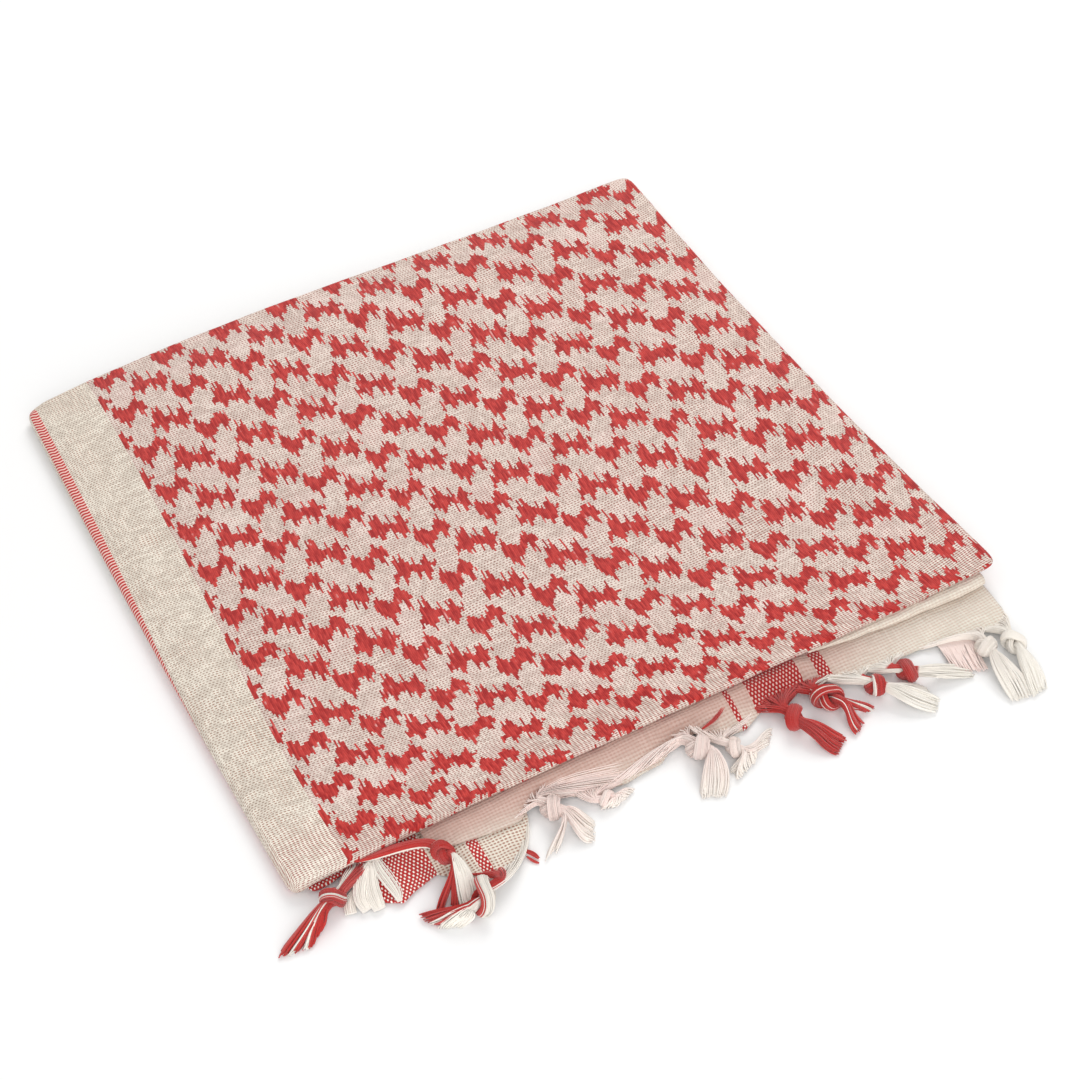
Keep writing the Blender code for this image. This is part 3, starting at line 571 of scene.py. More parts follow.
def piece(name, node, slot, material, points, quads, cloth, caps=None, dye=None):
    """A smooth mesh from points in millimetres, quads and capping polygons, riding on the root.

    cloth is each point's place in the weave, kept as a UV map; dye is each point's yarn colours."""
    faces = [quads] if caps is None else [quads, caps]
    corners = np.concatenate([face.reshape(-1) for face in faces]).astype(np.int32)
    sizes = np.concatenate([np.full(len(face), face.shape[1]) for face in faces])
    mesh = bpy.data.meshes.new(name)
    mesh.vertices.add(len(points))
    mesh.vertices.foreach_set("co", in_frame(points).astype(np.float32).ravel())
    mesh.loops.add(len(corners))
    mesh.loops.foreach_set("vertex_index", corners)
    mesh.polygons.add(len(sizes))
    mesh.polygons.foreach_set("loop_start", (np.cumsum(sizes) - sizes).astype(np.int32))
    mesh.update(calc_edges=True)
    mesh.validate()
    layer = mesh.uv_layers.new(name="weave")
    layer.data.foreach_set("uv", cloth[corners].astype(np.float32).ravel())
    if dye is not None:
        layer = mesh.attributes.new("dye", "FLOAT_COLOR", "POINT")
        padded = np.concatenate([dye, np.ones((len(dye), 1))], axis=1)
        layer.data.foreach_set("color", padded.astype(np.float32).ravel())
    mesh.shade_smooth()
    mesh.materials.append(material)
    obj = in_scene(name, mesh)
    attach(obj, "root")
    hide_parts(node)
    return obj


def wall(upper, thick, cloth):
    """A closed cloth wall from its upper grid: the grid again, lower by thick, and quads round the
    rim, all faced outwards."""
    rows, columns, _ = upper.shape
    size = rows * columns
    points = np.concatenate([upper.reshape(-1, 3), (upper - (0.0, 0.0, thick)).reshape(-1, 3)])
    rim = grid_rim(rows, columns)
    after = np.roll(rim, -1)
    sides = np.stack([after, rim, rim + size, after + size], axis=1)
    top = grid_quads(rows, columns)
    quads = np.concatenate([top, top[:, ::-1] + size, sides])
    normal_z = np.cross(upper[0, 1] - upper[0, 0], upper[1, 0] - upper[0, 0])[2]
    if normal_z < 0.0:
        quads = quads[:, ::-1]
    return points, quads, np.concatenate([cloth.reshape(-1, 2)] * 2)


# --- Yarns ---
def spline(points, steps):
    """The curve through the points in which each stretch is a cubic that leaves and meets its
    neighbours in their common direction, read at even steps."""
    points = np.asarray(points, float)
    ends = np.concatenate([2.0 * points[:1] - points[1:2], points, 2.0 * points[-1:] - points[-2:-1]])
    at = np.linspace(0.0, len(points) - 1.0, steps)
    k = np.minimum(at.astype(int), len(points) - 2)
    t = (at - k)[:, None]
    p0, p1, p2, p3 = (ends[k + i] for i in range(4))
    square = 2.0 * p0 - 5.0 * p1 + 4.0 * p2 - p3
    cube = 3.0 * (p1 - p2) + p3 - p0
    return 0.5 * (2.0 * p1 + (p2 - p0) * t + square * t**2 + cube * t**3)


def hermite(start, start_way, end, end_way, steps):
    """Cubics from start to end with these directions at their ends, for whole sets of yarns."""
    t = np.linspace(0.0, 1.0, steps)[:, None]
    start, start_way, end, end_way = (
        np.asarray(a, float)[..., None, :] for a in (start, start_way, end, end_way)
    )
    return (
        (2.0 * t**3 - 3.0 * t**2 + 1.0) * start
        + (t**3 - 2.0 * t**2 + t) * start_way
        + (3.0 * t**2 - 2.0 * t**3) * end
        + (t**3 - t**2) * end_way
    )


def carried_frames(lines):
    """Side and up along each line, the side carried on from step to step without twist."""
    way = unit(np.gradient(lines, axis=-2))
    side = np.empty_like(way)
    first = np.cross(way[..., 0, :], (0.0, 0.0, 1.0))
    weak = np.linalg.norm(first, axis=-1, keepdims=True) < 0.1
    side[..., 0, :] = unit(np.where(weak, np.cross(way[..., 0, :], (0.0, 1.0, 0.0)), first))
    for k in range(1, lines.shape[-2]):
        last, now = side[..., k - 1, :], way[..., k, :]
        side[..., k, :] = unit(last - now * (last * now).sum(axis=-1, keepdims=True))
    return side, np.cross(side, way)


def on_floor(lines, radius=YARN_RADIUS):
    """Lifts lines of this radius that run below the surface they lie on."""
    lines[..., 2] = np.maximum(lines[..., 2], FLOOR_CLEAR + radius)
    return lines


def swept_yarns(lines, radius, dye):
    """Round yarns along lines (yarns, steps, 3): a ring of points at each step, capped at both ends.

    dye holds three values a yarn and step. Returns points, quads, weave place, caps and dye."""
    yarns, steps, _ = lines.shape
    side, up = carried_frames(lines)
    corner = np.arange(YARN_SIDES)
    around = corner * 2.0 * np.pi / YARN_SIDES
    ring = side[:, :, None] * np.cos(around)[:, None] + up[:, :, None] * np.sin(around)[:, None]
    points = lines[:, :, None] + ring * np.broadcast_to(radius, (yarns, steps))[:, :, None, None]
    points[..., 2] = np.maximum(points[..., 2], LEAST_HEIGHT)
    number = np.arange(yarns)[:, None, None]
    each = steps * YARN_SIDES
    quads = (grid_quads(steps, YARN_SIDES, closed=True)[:, ::-1] + number * each).reshape(-1, 4)
    cap = np.stack([corner, (steps - 1) * YARN_SIDES + corner[::-1]])
    caps = (cap + number * each).reshape(-1, YARN_SIDES)
    along = way_along(lines, axis=1)[:, :, None] + YARN_PLACES_APART * number
    place = np.stack(np.broadcast_arrays(along, corner / YARN_SIDES), axis=-1)
    colour = np.broadcast_to(dye[:, :, None], points.shape)
    return points.reshape(-1, 3), quads, place.reshape(-1, 2), caps, colour.reshape(-1, 3)


def yarn_body(sets):
    """Several sets of yarns swept and put together: points, quads, weave place, caps and dye."""
    parts = []
    first = 0
    for points, quads, place, caps, dye in (swept_yarns(*lines) for lines in sets):
        parts.append((points, quads + first, place, caps + first, dye))
        first += len(points)
    return [np.concatenate(values) for values in zip(*parts)]


def disc(count):
    """Evenly spread places in a unit disc, by the golden angle."""
    k = np.arange(count)
    far = np.sqrt((k + 0.5) / count)
    angle = k * np.pi * (3.0 - np.sqrt(5.0))
    return far * np.cos(angle), far * np.sin(angle)


def tight_knot(steps=52, reach=2.6, taken=11.0, rounds=700):
    """Centreline of an overhand knot pulled tight, in rope widths along X.

    It starts as the curve x = t^5 - 10t, y = t^3 - 3t, z = t^4 - 4t^2. Then its ends are drawn
    apart while each link keeps its length, the line stays supple, and no two turns come nearer
    than one rope width."""
    t = np.linspace(-2.1, 2.1, steps)
    x, y, z = t**5 - 10.0 * t, 3.2 * (t**3 - 3.0 * t), 2.2 * (t**4 - 4.0 * t**2 + 2.0)
    line = np.stack([x, y, z], axis=1)
    total = 2.0 * reach + taken
    run = way_along(line)
    even = np.linspace(0.0, run[-1], steps)
    line = np.stack([np.interp(even, run, line[:, k]) for k in range(3)], axis=1) * total / run[-1]
    link = total / (steps - 1)
    one, other = np.triu_indices(steps, int(np.ceil(1.35 / link)))
    for _ in range(rounds):
        line[0] += 0.05 * (np.array((-reach, 0.0, 0.0)) - line[0])
        line[-1] += 0.05 * (np.array((reach, 0.0, 0.0)) - line[-1])
        for start in (0, 1, 0, 1, 0, 1):
            count = (steps - start) // 2
            near = line[start : start + 2 * count : 2]
            far = line[start + 1 : start + 2 * count : 2]
            gap = far - near
            length = np.linalg.norm(gap, axis=1, keepdims=True)
            shift = 0.5 * (length - link) / length * gap
            near += shift
            far -= shift
        line[1:-1] += 0.12 * (0.5 * (line[2:] + line[:-2]) - line[1:-1])
        gap = line[other] - line[one]
        length = np.linalg.norm(gap, axis=1)
        touch = length < 1.0
        push = 0.25 * ((1.0 - length[touch]) / np.maximum(length[touch], 1e-6))[:, None] * gap[touch]
        move, count = np.zeros_like(line), np.ones(steps)
        for end, way in ((one[touch], -push), (other[touch], push)):
            np.add.at(move, end, way)
            np.add.at(count, end, 1.0)
        line += move / np.sqrt(np.maximum(count - 1.0, 1.0))[:, None]
    return line


KNOT_LINE = tight_knot()


def sheet_fall(x, y, table, top_of):
    """Height of a fringed cloth at a place: level under the pad, then an s-curve down to its edge."""
    edge_y = read(table, x, 1)
    start = fall_start(edge_y)
    fall = smooth(start - y, 0.0, start - edge_y)
    return top_of(x) + fall * (read(table, x, 2) - top_of(x))


def fall_start(edge_y):
    """Y at which a fringed cloth begins to fall to its edge."""
    return np.maximum(edge_y + 0.4, -0.5)


def edge_place(x, which, reach=FRINGE_REACH):
    """Where a yarn leaves its cloth: a little in from the edge, or the hidden hem under the pad."""
    if which in HEMS:
        return np.stack([x, np.full_like(x, HEM_Y), np.full_like(x, HEMS[which])], axis=1)
    table, top_of = EDGES[which]
    y = read(table, x, 1) + reach
    return np.stack([x, y, sheet_fall(x, y, table, top_of)], axis=1)


def over_sheet(lines, which):
    """Lifts yarns so that they come slowly out of the fringed cloth and lie on it where they cross."""
    if which in HEMS:
        return lines
    table, top_of = EDGES[which]
    x, y, z = np.moveaxis(lines, -1, 0)
    edge_y = read(table, x, 1)
    on_cloth = smooth(y, edge_y - 1.2, edge_y + 0.2) * (x > table[0, 0]) * (x < table[-1, 0])
    surface = sheet_fall(x, np.maximum(y, edge_y), table, top_of) + 0.5 * YARN_RADIUS
    sunk = YARNS_SUNK * (1.0 - smooth(np.linspace(0.0, 1.0, lines.shape[1]), 0.0, 0.6))
    lifted = np.where(on_cloth > 0.0, np.maximum(z, surface * on_cloth), z) - sunk * on_cloth
    return np.concatenate([lines[..., :2], lifted[..., None]], axis=-1)


def ranked(values):
    """Each value's place in their order, from 0 to 1."""
    order = np.empty(len(values))
    order[np.argsort(values)] = np.arange(len(values))
    return (order + 0.5) / len(values)


def knot_place(name, tips, shares, rope):
    """Middle of a tassel's knot, the line through the knot, and the level way out to its tips."""
    *root, knot_x, knot_y, radius, ground = TASSELS[name]
    roll, hand, _, _, pressed = TYING[name][3:]
    knot = np.array((knot_x, knot_y, ground + 0.95 * radius + 0.1))
    middle_tip = (shares[:, None] * 0.5 * (tips[:, 1:3] + tips[:, 3:5])).sum(axis=0)
    inward = unit((knot - root) * (1.0, 1.0, 0.35))
    outward = unit(np.append(middle_tip - knot[:2], 0.0))
    axis = unit(inward + outward)
    side = unit(np.cross(axis, (0.0, 0.0, 1.0)))
    up = np.cross(side, axis)
    roll = np.radians(roll)
    local = KNOT_LINE[np.abs(KNOT_LINE[:, 0]) < KNOT_SPAN] * (1.0, float(hand), 1.0)
    turned_y = local[:, 1] * np.cos(roll) - local[:, 2] * np.sin(roll)
    turned_z = local[:, 1] * np.sin(roll) + local[:, 2] * np.cos(roll)
    turned = local[:, :1] * axis + turned_y[:, None] * side + turned_z[:, None] * up
    return knot, on_floor(knot + 2.0 * rope * pressed * turned, rope), outward


def knot_yarns(knot, middle, rope):
    """Yarns side by side round the knot's line, flatter where its turns press on each other, and
    how far each is off that line at its start."""
    disc_u, disc_v = (values[:, None] for values in disc(YARNS_EACH))
    side, up = carried_frames(middle)
    twist = np.linspace(0.0, KNOT_TWIST, len(middle))
    u = disc_u * np.cos(twist) - disc_v * np.sin(twist)
    v = disc_u * np.sin(twist) + disc_v * np.cos(twist)
    offset = rope * (u[..., None] * side + v[..., None] * up)
    way = unit(np.gradient(middle, axis=0))
    radial = middle - knot
    radial = radial - way * (radial * way).sum(axis=1, keepdims=True)
    pressed = smooth(np.linalg.norm(radial, axis=1), 0.3 * rope, 1.0 * rope)[:, None]
    radial = unit(radial)
    towards = (offset * radial).sum(axis=-1, keepdims=True) * radial
    thinner = KNOT_FLAT[0] * pressed * towards
    wider = KNOT_FLAT[1] * pressed * (offset - towards)
    return middle + offset - thinner + wider, offset[:, :1]


def gathered(name, core, offset, enter, white, rng):
    """The yarns from their places along the cloth's edge to the knot, fuller halfway."""
    first, last, which, _, _, _, red_side, _ = TYING[name]
    share = ranked(core[:, 0, 0] - 100.0 * red_side * white)
    x = first + (last - first) * share + rng.normal(0.0, 0.12, YARNS_EACH)
    start = edge_place(x, which, FRINGE_REACH * rng.uniform(0.45, 0.75, YARNS_EACH))
    far = np.linalg.norm(core[:, 0] - start, axis=1)[:, None]
    leave = far * (0.0, -0.5, -0.05) - (0.0, 2.0, 0.0)
    lines = hermite(start, leave, core[:, 0], far * enter * 0.9, LEAD_STEPS)
    bulge = np.sin(np.pi * np.linspace(0.0, 1.0, LEAD_STEPS)) ** 2
    return over_sheet(lines + (bulge[:, None] * 0.4) * offset, which)


def cut_ends(core, leave, outward, tips, lock, within, seed, rng):
    """The yarns from the knot to their tips, swaying and spread like petals within each lock."""
    end = core[:, -1]
    tip = tips[lock, 1:3] + (tips[lock, 3:5] - tips[lock, 1:3]) * within[:, None]
    tip = tip + (tip - end[:, :2]) * rng.uniform(-0.12, 0.05, YARNS_EACH)[:, None]
    tip = tip + rng.normal(0.0, 0.25, (YARNS_EACH, 2))
    thick = ranked(end[:, 2] + 0.3 * rng.normal(size=YARNS_EACH))[:, None]
    tip = np.concatenate([tip, FLOOR_CLEAR + YARN_RADIUS + 1.1 * thick**1.5], axis=1)
    far = np.linalg.norm(tip - end, axis=1)[:, None]
    arrive = unit((tip - end) * (1.0, 1.0, 0.1))
    lines = hermite(end, far * (0.3 * leave + 0.6 * outward), tip, far * arrive * 0.8, TAIL_STEPS)
    run = np.linspace(0.0, 1.0, TAIL_STEPS)
    phase = rng.uniform(-0.35, 0.35, (2, YARNS_EACH, 1)) + lock[None, :, None] * 2.4 + seed
    sway = 0.4 * run**1.2 * np.sin(run * 6.0 + phase)
    petal = np.where(tips[:, 5] > 0.0, RED_PETAL, PETAL)[:, None] * (tips[:, 3:5] - tips[:, 1:3])
    swell = np.sin(np.pi * run) ** 0.8
    lines[..., :2] += ((within - 0.5)[:, None] * petal[lock])[:, None] * swell[:, None]
    lines[..., :2] += sway[0][..., None] * np.stack([-arrive[:, 1], arrive[:, 0]], axis=1)[:, None]
    lines[..., 2] += np.sin(np.pi * run) * 0.5 * (0.5 + thick) + 0.3 * sway[1]
    return lines


def tassel_lines(name, seed):
    """Yarns gathered from an edge, laid side by side round the knot's line, and parted into locks."""
    rng = np.random.default_rng(seed)
    tips = np.array(LOCKS[name])
    shares = tips[:, 0] / tips[:, 0].sum()
    rope = ROPE_SHARE * TASSELS[name][5]
    knot, middle, outward = knot_place(name, tips, shares, rope)
    core, offset = knot_yarns(knot, middle, rope)

    across = unit(tips[-1, 3:5] - tips[0, 1:3])
    place = ranked(core[:, -1, 0] * across[0] + core[:, -1, 1] * across[1])
    ends = np.cumsum(shares)
    lock = np.searchsorted(ends, place)
    within = (place - (ends - shares)[lock]) / shares[lock]
    white = np.abs(within - tips[lock, 6]) < 0.5 * (1.0 - tips[lock, 5])
    lead_in = gathered(name, core, offset, unit(middle[1] - middle[0]), white, rng)
    tail = cut_ends(core, unit(middle[-1] - middle[-2]), outward, tips, lock, within, seed, rng)
    lines = on_floor(np.concatenate([lead_in[:, :-1], core, tail[:, 1:]], axis=1))

    steps = np.arange(lines.shape[1])
    tail_start = len(steps) - TAIL_STEPS
    red = np.repeat(1.0 - white[:, None], len(steps), axis=1)
    if name in WRAPPED:
        on_knot = slice(LEAD_STEPS - 3, LEAD_STEPS + len(middle) - 2)
        red[ranked(disc(YARNS_EACH)[0]) < WRAPPED[name], on_knot] = 1.0
    paler = 1.0 - 0.7 * smooth(steps, tail_start, len(steps))
    tinge = np.clip(TYING[name][5] * paler * (0.7 + 0.6 * rng.random((YARNS_EACH, 1))), 0.0, 1.0)
    shade = rng.random((YARNS_EACH, 1))
    dye = np.stack(np.broadcast_arrays(red, tinge, shade), axis=-1)
    fuller = 1.0 + 0.75 * smooth(steps, tail_start, len(steps) - 5)
    fuller = fuller + 0.4 * (1.0 - smooth(steps, 0.0, LEAD_STEPS))
    fuller = fuller * np.where(steps > len(steps) - 3, 0.75, 1.0)
    return lines, YARN_RADIUS * (fuller * (0.85 + 0.3 * rng.random((YARNS_EACH, 1)))), dye


# --- Shader building ---
class Value:
    """What a socket gives. It adds, subtracts, multiplies and compares as numbers do."""

    def __init__(self, wires, socket):
        self.wires = wires
        self.socket = socket

    def math(self, operation, *others):
        return self.wires.math(operation, self, *others)

    def __add__(self, other):
        return self.math("ADD", other)

    def __sub__(self, other):
        return self.math("SUBTRACT", other)

    def __rsub__(self, other):
        return self.wires.math("SUBTRACT", other, self)

    def __mul__(self, other):
        return self.math("MULTIPLY", other)

    def __gt__(self, other):
        return self.math("GREATER_THAN", other)

    def __lt__(self, other):
        return self.math("LESS_THAN", other)

    def floor(self):
        return self.math("FLOOR")

    def off_middle(self):
        """0 in the middle of each whole step and 1 at its ends."""
        return (self.math("FRACT") * 2.0 - 1.0).math("ABSOLUTE")

    def between(self, low, high):
        """0 at low, 1 at high, smooth between them."""
        settings = {"interpolation_type": "SMOOTHSTEP"}
        return self.wires.node("ShaderNodeMapRange", self, low, high, settings=settings)


class Wires:
    """Adds nodes to one tree. Their inputs are values, numbers, places or colours."""

    def __init__(self, tree):
        self.tree = tree

    def put(self, value, socket):
        if isinstance(value, Value):
            self.tree.links.new(value.socket, socket)
        else:
            socket.default_value = (*value, 1.0) if socket.type == "RGBA" else value

    def add(self, kind, *values, settings=None, **named):
        node = self.tree.nodes.new(kind)
        for key, value in (settings or {}).items():
            setattr(node, key, value)
        for key, value in (*enumerate(values), *named.items()):
            self.put(value, node.inputs[key])
        return node

    def node(self, *values, output=0, **named):
        return Value(self, self.add(*values, **named).outputs[output])

    def math(self, operation, *values):
        return self.node("ShaderNodeMath", *values, settings={"operation": operation})

    def shifted(self, operation, place, by):
        return self.node("ShaderNodeVectorMath", place, by, settings={"operation": operation})

    def combine(self, *parts):
        return self.node("ShaderNodeCombineXYZ", *parts)

    def parts(self, place):
        return [Value(self, part) for part in self.add("ShaderNodeSeparateXYZ", place).outputs]

    def mix(self, share, one, other, blend="MIX"):
        """One where share is 0 and the other where it is 1, for colours or for numbers."""
        colours = isinstance(one, tuple) or one.socket.type == "RGBA"
        first, given = (6, 2) if colours else (2, 0)
        settings = {"data_type": "RGBA" if colours else "FLOAT", "blend_type": blend}
        node = self.add("ShaderNodeMix", share, settings=settings)
        self.put(one, node.inputs[first])
        self.put(other, node.inputs[first + 1])
        return Value(self, node.outputs[given])

    def noise(self, place, scale, detail=2.0, output="Fac"):
        return self.node("ShaderNodeTexNoise", output=output, Vector=place, Scale=scale, Detail=detail)

    def wandering(self, place, scale, detail, reach):
        """The place moved by slow noise, up to half of reach each way."""
        shift = self.shifted("SUBTRACT", self.noise(place, scale, detail, "Color"), (0.5, 0.5, 0.5))
        return self.shifted("ADD", place, self.shifted("MULTIPLY", shift, (reach, reach, reach)))

    def chance(self, place, output, dimensions):
        settings = {"noise_dimensions": dimensions}
        return self.node("ShaderNodeTexWhiteNoise", output=output, Vector=place, settings=settings)

    def bump(self, height, strength, distance, **normal):
        return self.node("ShaderNodeBump", Height=height, Strength=strength, Distance=distance, **normal)

    def group(self, tree, **inputs):
        node = self.add("ShaderNodeGroup", settings={"node_tree": tree}, **inputs)
        return {socket.name: Value(self, socket) for socket in node.outputs}

    def place_in_weave(self):
        return self.node("ShaderNodeUVMap", settings={"uv_map": "weave"})

    def place_in_frame(self):
        return self.node("ShaderNodeTexCoord", output="Object")


def start_group(name, **inputs):
    """A new shader group's wires and the values of its inputs, which are given as socket types."""
    tree = bpy.data.node_groups.new(name, "ShaderNodeTree")
    for label, kind in inputs.items():
        tree.interface.new_socket(name=label, in_out="INPUT", socket_type="NodeSocket" + kind)
    wires = Wires(tree)
    given = wires.add("NodeGroupInput").outputs
    return wires, [Value(wires, given[label]) for label in inputs]


def end_group(wires, **results):
    """Gives the group an output for each result and returns its tree."""
    for label in results:
        wires.tree.interface.new_socket(name=label, in_out="OUTPUT", socket_type="NodeSocketFloat")
    wires.add("NodeGroupOutput", **results)
    return wires.tree


def make_open_weave():
    """Open weave from a place in cells, each a pair of warp threads by one weft, with holes at the
    corners. Dash is where the weft shows between single warp threads, set off by one from row to
    row. Where the weave is firm the shade is short slivers between wefts, set off in the same way,
    and where it is loose it is lines between wefts and between warps. Rows and columns wander a
    little, and each is lighter, and its gaps closer, in long streaks."""
    w, (cells, looseness) = start_group("open weave", Cells="Vector", Looseness="Float")
    across, up, _ = w.parts(w.wandering(cells, 0.11, 2.0, 1.5))
    column, row = across.floor(), up.floor()
    middles, gaps, rounds, streaks = [], [], [], []
    for along, here, number, yarn in ((up, across, column, WARP_COVERS), (across, up, row, WEFT_COVERS)):
        middle = here.off_middle()
        streak = w.noise(w.combine(number * 7.13, along * 0.2), 1.0, detail=1.0)
        opened = middle + (streak - 0.5) * 1.2 + (looseness - 0.5)
        gaps.append(opened.between(0.35, 0.75) * middle.between(*yarn))
        middles.append(middle)
        rounds.append(1.0 - middle * middle)
        streaks.append(streak)
    beats = [((across * 2.0 + number) * PI).math("SINE") for number in (row, (up + 0.5).floor())]
    slivers = beats[1].between(-0.3, 0.6) * middles[1].between(0.30, 0.90)
    lines = middles[1].between(0.45, 0.80) * 0.65 + middles[0].between(0.55, 0.95) * 0.25
    shade = w.mix(looseness.between(0.60, 0.42), lines, slivers)
    shade = shade * (w.chance(w.combine(column, row), "Value", "2D") * 0.9 + 0.45)
    either = w.noise(cells, 0.09, detail=0.0).between(0.42, 0.60)
    streak = w.mix(either * 0.75, streaks[1], streaks[0]).between(0.36, 0.64) * 0.34 + 0.66
    return end_group(
        w,
        Dash=beats[0].between(0.0, 0.8) * rounds[1].between(0.3, 0.9),
        Light=streak - shade * 0.85,
        Hole=gaps[0] * gaps[1],
        Height=(rounds[0] * 0.8).math("MAXIMUM", rounds[1]),
    )


def charted_ends(w, column, first, shape, lift):
    """Bottom and top of the float over a warp thread, as shares of the repeat, from a stepped ramp
    that holds the bottoms in red and the tops in green."""
    share = (column - float(first)).math("FLOORED_MODULO", float(THREADS_ACROSS))
    share = share * (1.0 / THREADS_ACROSS) + 0.5 / THREADS_ACROSS
    node = w.add("ShaderNodeValToRGB", share)
    ramp = node.color_ramp
    ramp.interpolation = "CONSTANT"
    ends = [(*low_high, 0.0, 1.0) for low_high in ((np.array(shape) + lift) / THREADS_UP).tolist()]
    for k, colour in enumerate([*ends, (1.0, 0.0, 0.0, 1.0)]):
        element = ramp.elements[k] if k < 2 else ramp.elements.new(k / THREADS_ACROSS)
        element.position = k / THREADS_ACROSS
        element.color = colour
    return w.parts(Value(w, node.outputs["Color"]))


def make_red_figure():
    """The woven figure: 1 where a thread floats red, from the two charted shapes of the repeat."""
    w, (threads,) = start_group("red figure", Threads="Vector")
    across, up, _ = w.parts(w.wandering(threads, 0.045, 1.0, 2.4))
    column = across.floor()
    masks = []
    for first, shape, lift in ((BOW_FIRST, BOW_SHAPE, BOW_LIFT), (CREST_FIRST, CREST_SHAPE, CREST_LIFT)):
        low, high, _ = charted_ends(w, column, first, shape, lift)
        share = (up + lift) * (1.0 / THREADS_UP)
        row = ((share.math("FRACT") * float(WEFTS_UP)).floor() + 0.5) * (1.0 / WEFTS_UP)
        ragged = w.parts(w.chance(w.combine(column, share.floor(), lift), "Color", "3D"))
        below, above, _ = [(stray.math("POWER", 1.6) - 0.30) * (RAGGED / THREADS_UP) for stray in ragged]
        masks.append((row > low - below) * (row < high + above) * (high > 0.0))
    edge = across.off_middle()
    return end_group(
        w,
        Red=masks[0].math("MAXIMUM", masks[1]),
        Thread=w.noise(w.combine(column * 0.9, up * 0.09), 1.0),
        Height=1.0 - edge * edge,
    )


def make_stripe():
    """1 between two thread numbers, with edges that end on a thread."""
    w, (thread, first, last) = start_group("stripe", Thread="Float", From="Float", To="Float")
    column = thread.floor()
    return end_group(w, Inside=(column > first) * (column < last))


OPEN_WEAVE = make_open_weave()
RED_FIGURE = make_red_figure()
STRIPE = make_stripe()


def weave_at(w, threads, looseness):
    return w.group(OPEN_WEAVE, Cells=w.shifted("MULTIPLY", threads, CELL), Looseness=looseness)


def stripe_at(w, across, first, last):
    return w.group(STRIPE, Thread=across, From=first - 0.5, To=last + 0.5)["Inside"]


def new_material(name, roughness=0.9, sheen=0.25):
    material = bpy.data.materials.new(name)
    material.use_nodes = True
    shader = material.node_tree.nodes["Principled BSDF"]
    shader.inputs["Roughness"].default_value = roughness
    shader.inputs["Sheen Weight"].default_value = sheen
    shader.inputs["Sheen Roughness"].default_value = 0.6
    shader.inputs["Specular IOR Level"].default_value = 0.25
    return material, Wires(material.node_tree), shader.inputs


def make_figured_cotton():
    """Top cloth: open weave, looser towards the front, with the red figure in the field and a
    narrow stripe in the plain border."""
    material, w, shader = new_material("figured cotton", sheen=0.15)
    threads = w.place_in_weave()
    across, up, _ = w.parts(threads)
    open_part = up.between(*LOOSER_BELOW)
    loose = (w.noise(threads, 0.03) - 0.5) * 0.7 + LOOSENESS[0] + open_part * (LOOSENESS[1] - LOOSENESS[0])
    weave = weave_at(w, threads, loose)
    figure = w.group(RED_FIGURE, Threads=threads)
    field = across.floor() > FIELD_EDGE
    red = figure["Red"] * field

    # towards the front the cream turns paler: painted light coming through the open weave
    border = w.mix(weave["Light"], w.mix(open_part, CREAM_LOW, OPEN_LOW), w.mix(open_part, CREAM, OPEN_PAINTED_LIGHT))
    ground = w.mix(weave["Light"], FIELD_LOW, w.mix(open_part * 0.4, FIELD_CREAM, OPEN_PAINTED_LIGHT))
    blotch = w.noise(threads, 0.035, detail=3.0).between(0.45, 0.7)
    ground = w.mix(blotch * 0.22, ground, PINK)
    # the holes show what lies below, darkened with painted shade
    hole = w.mix(open_part, w.mix(field, HOLE_CREAM, HOLE_FIELD), HOLE_OPEN)
    cloth = w.mix(weave["Hole"], w.mix(field, border, ground), hole)
    bars = (up * (2.0 * PI / STRIPE_BAR)).math("SINE").between(-0.2, 0.7)
    cloth = w.mix(stripe_at(w, across, *STRIPE_THREADS), cloth, w.mix(bars, RED, STRIPE_GAP))
    floats = w.mix(figure["Thread"].between(0.36, 0.64), DEEP_RED, LIGHT_RED)
    floats = w.mix(figure["Thread"].between(0.64, 0.76) * 0.45, floats, PINK)
    w.put(w.mix(red, cloth, floats), shader["Base Color"])

    turn, stretch = (0.0, 0.0, 0.7), (60.0, 260.0, 60.0)
    slant = w.node("ShaderNodeMapping", Vector=w.place_in_frame(), Rotation=turn, Scale=stretch)
    fine = w.bump(w.mix(red, weave["Height"], figure["Height"]), 0.55, 0.00028)
    w.put(w.bump(w.noise(slant, 1.0, detail=3.0), 0.30, 0.0012, Normal=fine), shader["Normal"])
    return material


def make_plain_cotton(name, ground, low, hole_colour, bands=(), painted_shade=(1.0, 1.0, 1.0)):
    """Open weave in one cream, with bands of red warp from and to places across in millimetres.
    The last colour darkens it with painted shade where it goes under the pad, most of all at the left."""
    material, w, shader = new_material(name)
    threads = w.place_in_weave()
    across = w.parts(threads)[0]
    weave = weave_at(w, threads, LOOSENESS[1])
    cloth = w.mix(weave["Hole"], w.mix(weave["Light"], low, ground), hole_colour)
    # the red check is darker in the weave's holes: painted shade
    checked = w.mix(weave["Dash"], w.mix(weave["Hole"] * 0.6, RED, DEEP_RED), WHITE)
    for first, last in bands:
        cloth = w.mix(stripe_at(w, across, first / THREAD, last / THREAD), cloth, checked)
    place = w.place_in_frame()
    x, y, _ = w.parts(place)
    left, front = PAD_ORIGIN[:2] * MM
    # painted shade where the cloth goes under the pad, strongest at the left
    under = y.between(front - 0.018, front - 0.002) * (x.between(left + 0.240, left + 0.185) * 0.80 + 0.20)
    cloth = w.mix(1.0, cloth, w.mix(under, (1.0, 1.0, 1.0), painted_shade), blend="MULTIPLY")
    w.put(cloth, shader["Base Color"])
    fine = w.bump(weave["Height"], 0.6, 0.0003)
    w.put(w.bump(w.noise(place, 260.0, detail=3.0), 0.35, 0.0012, Normal=fine), shader["Normal"])
    return material


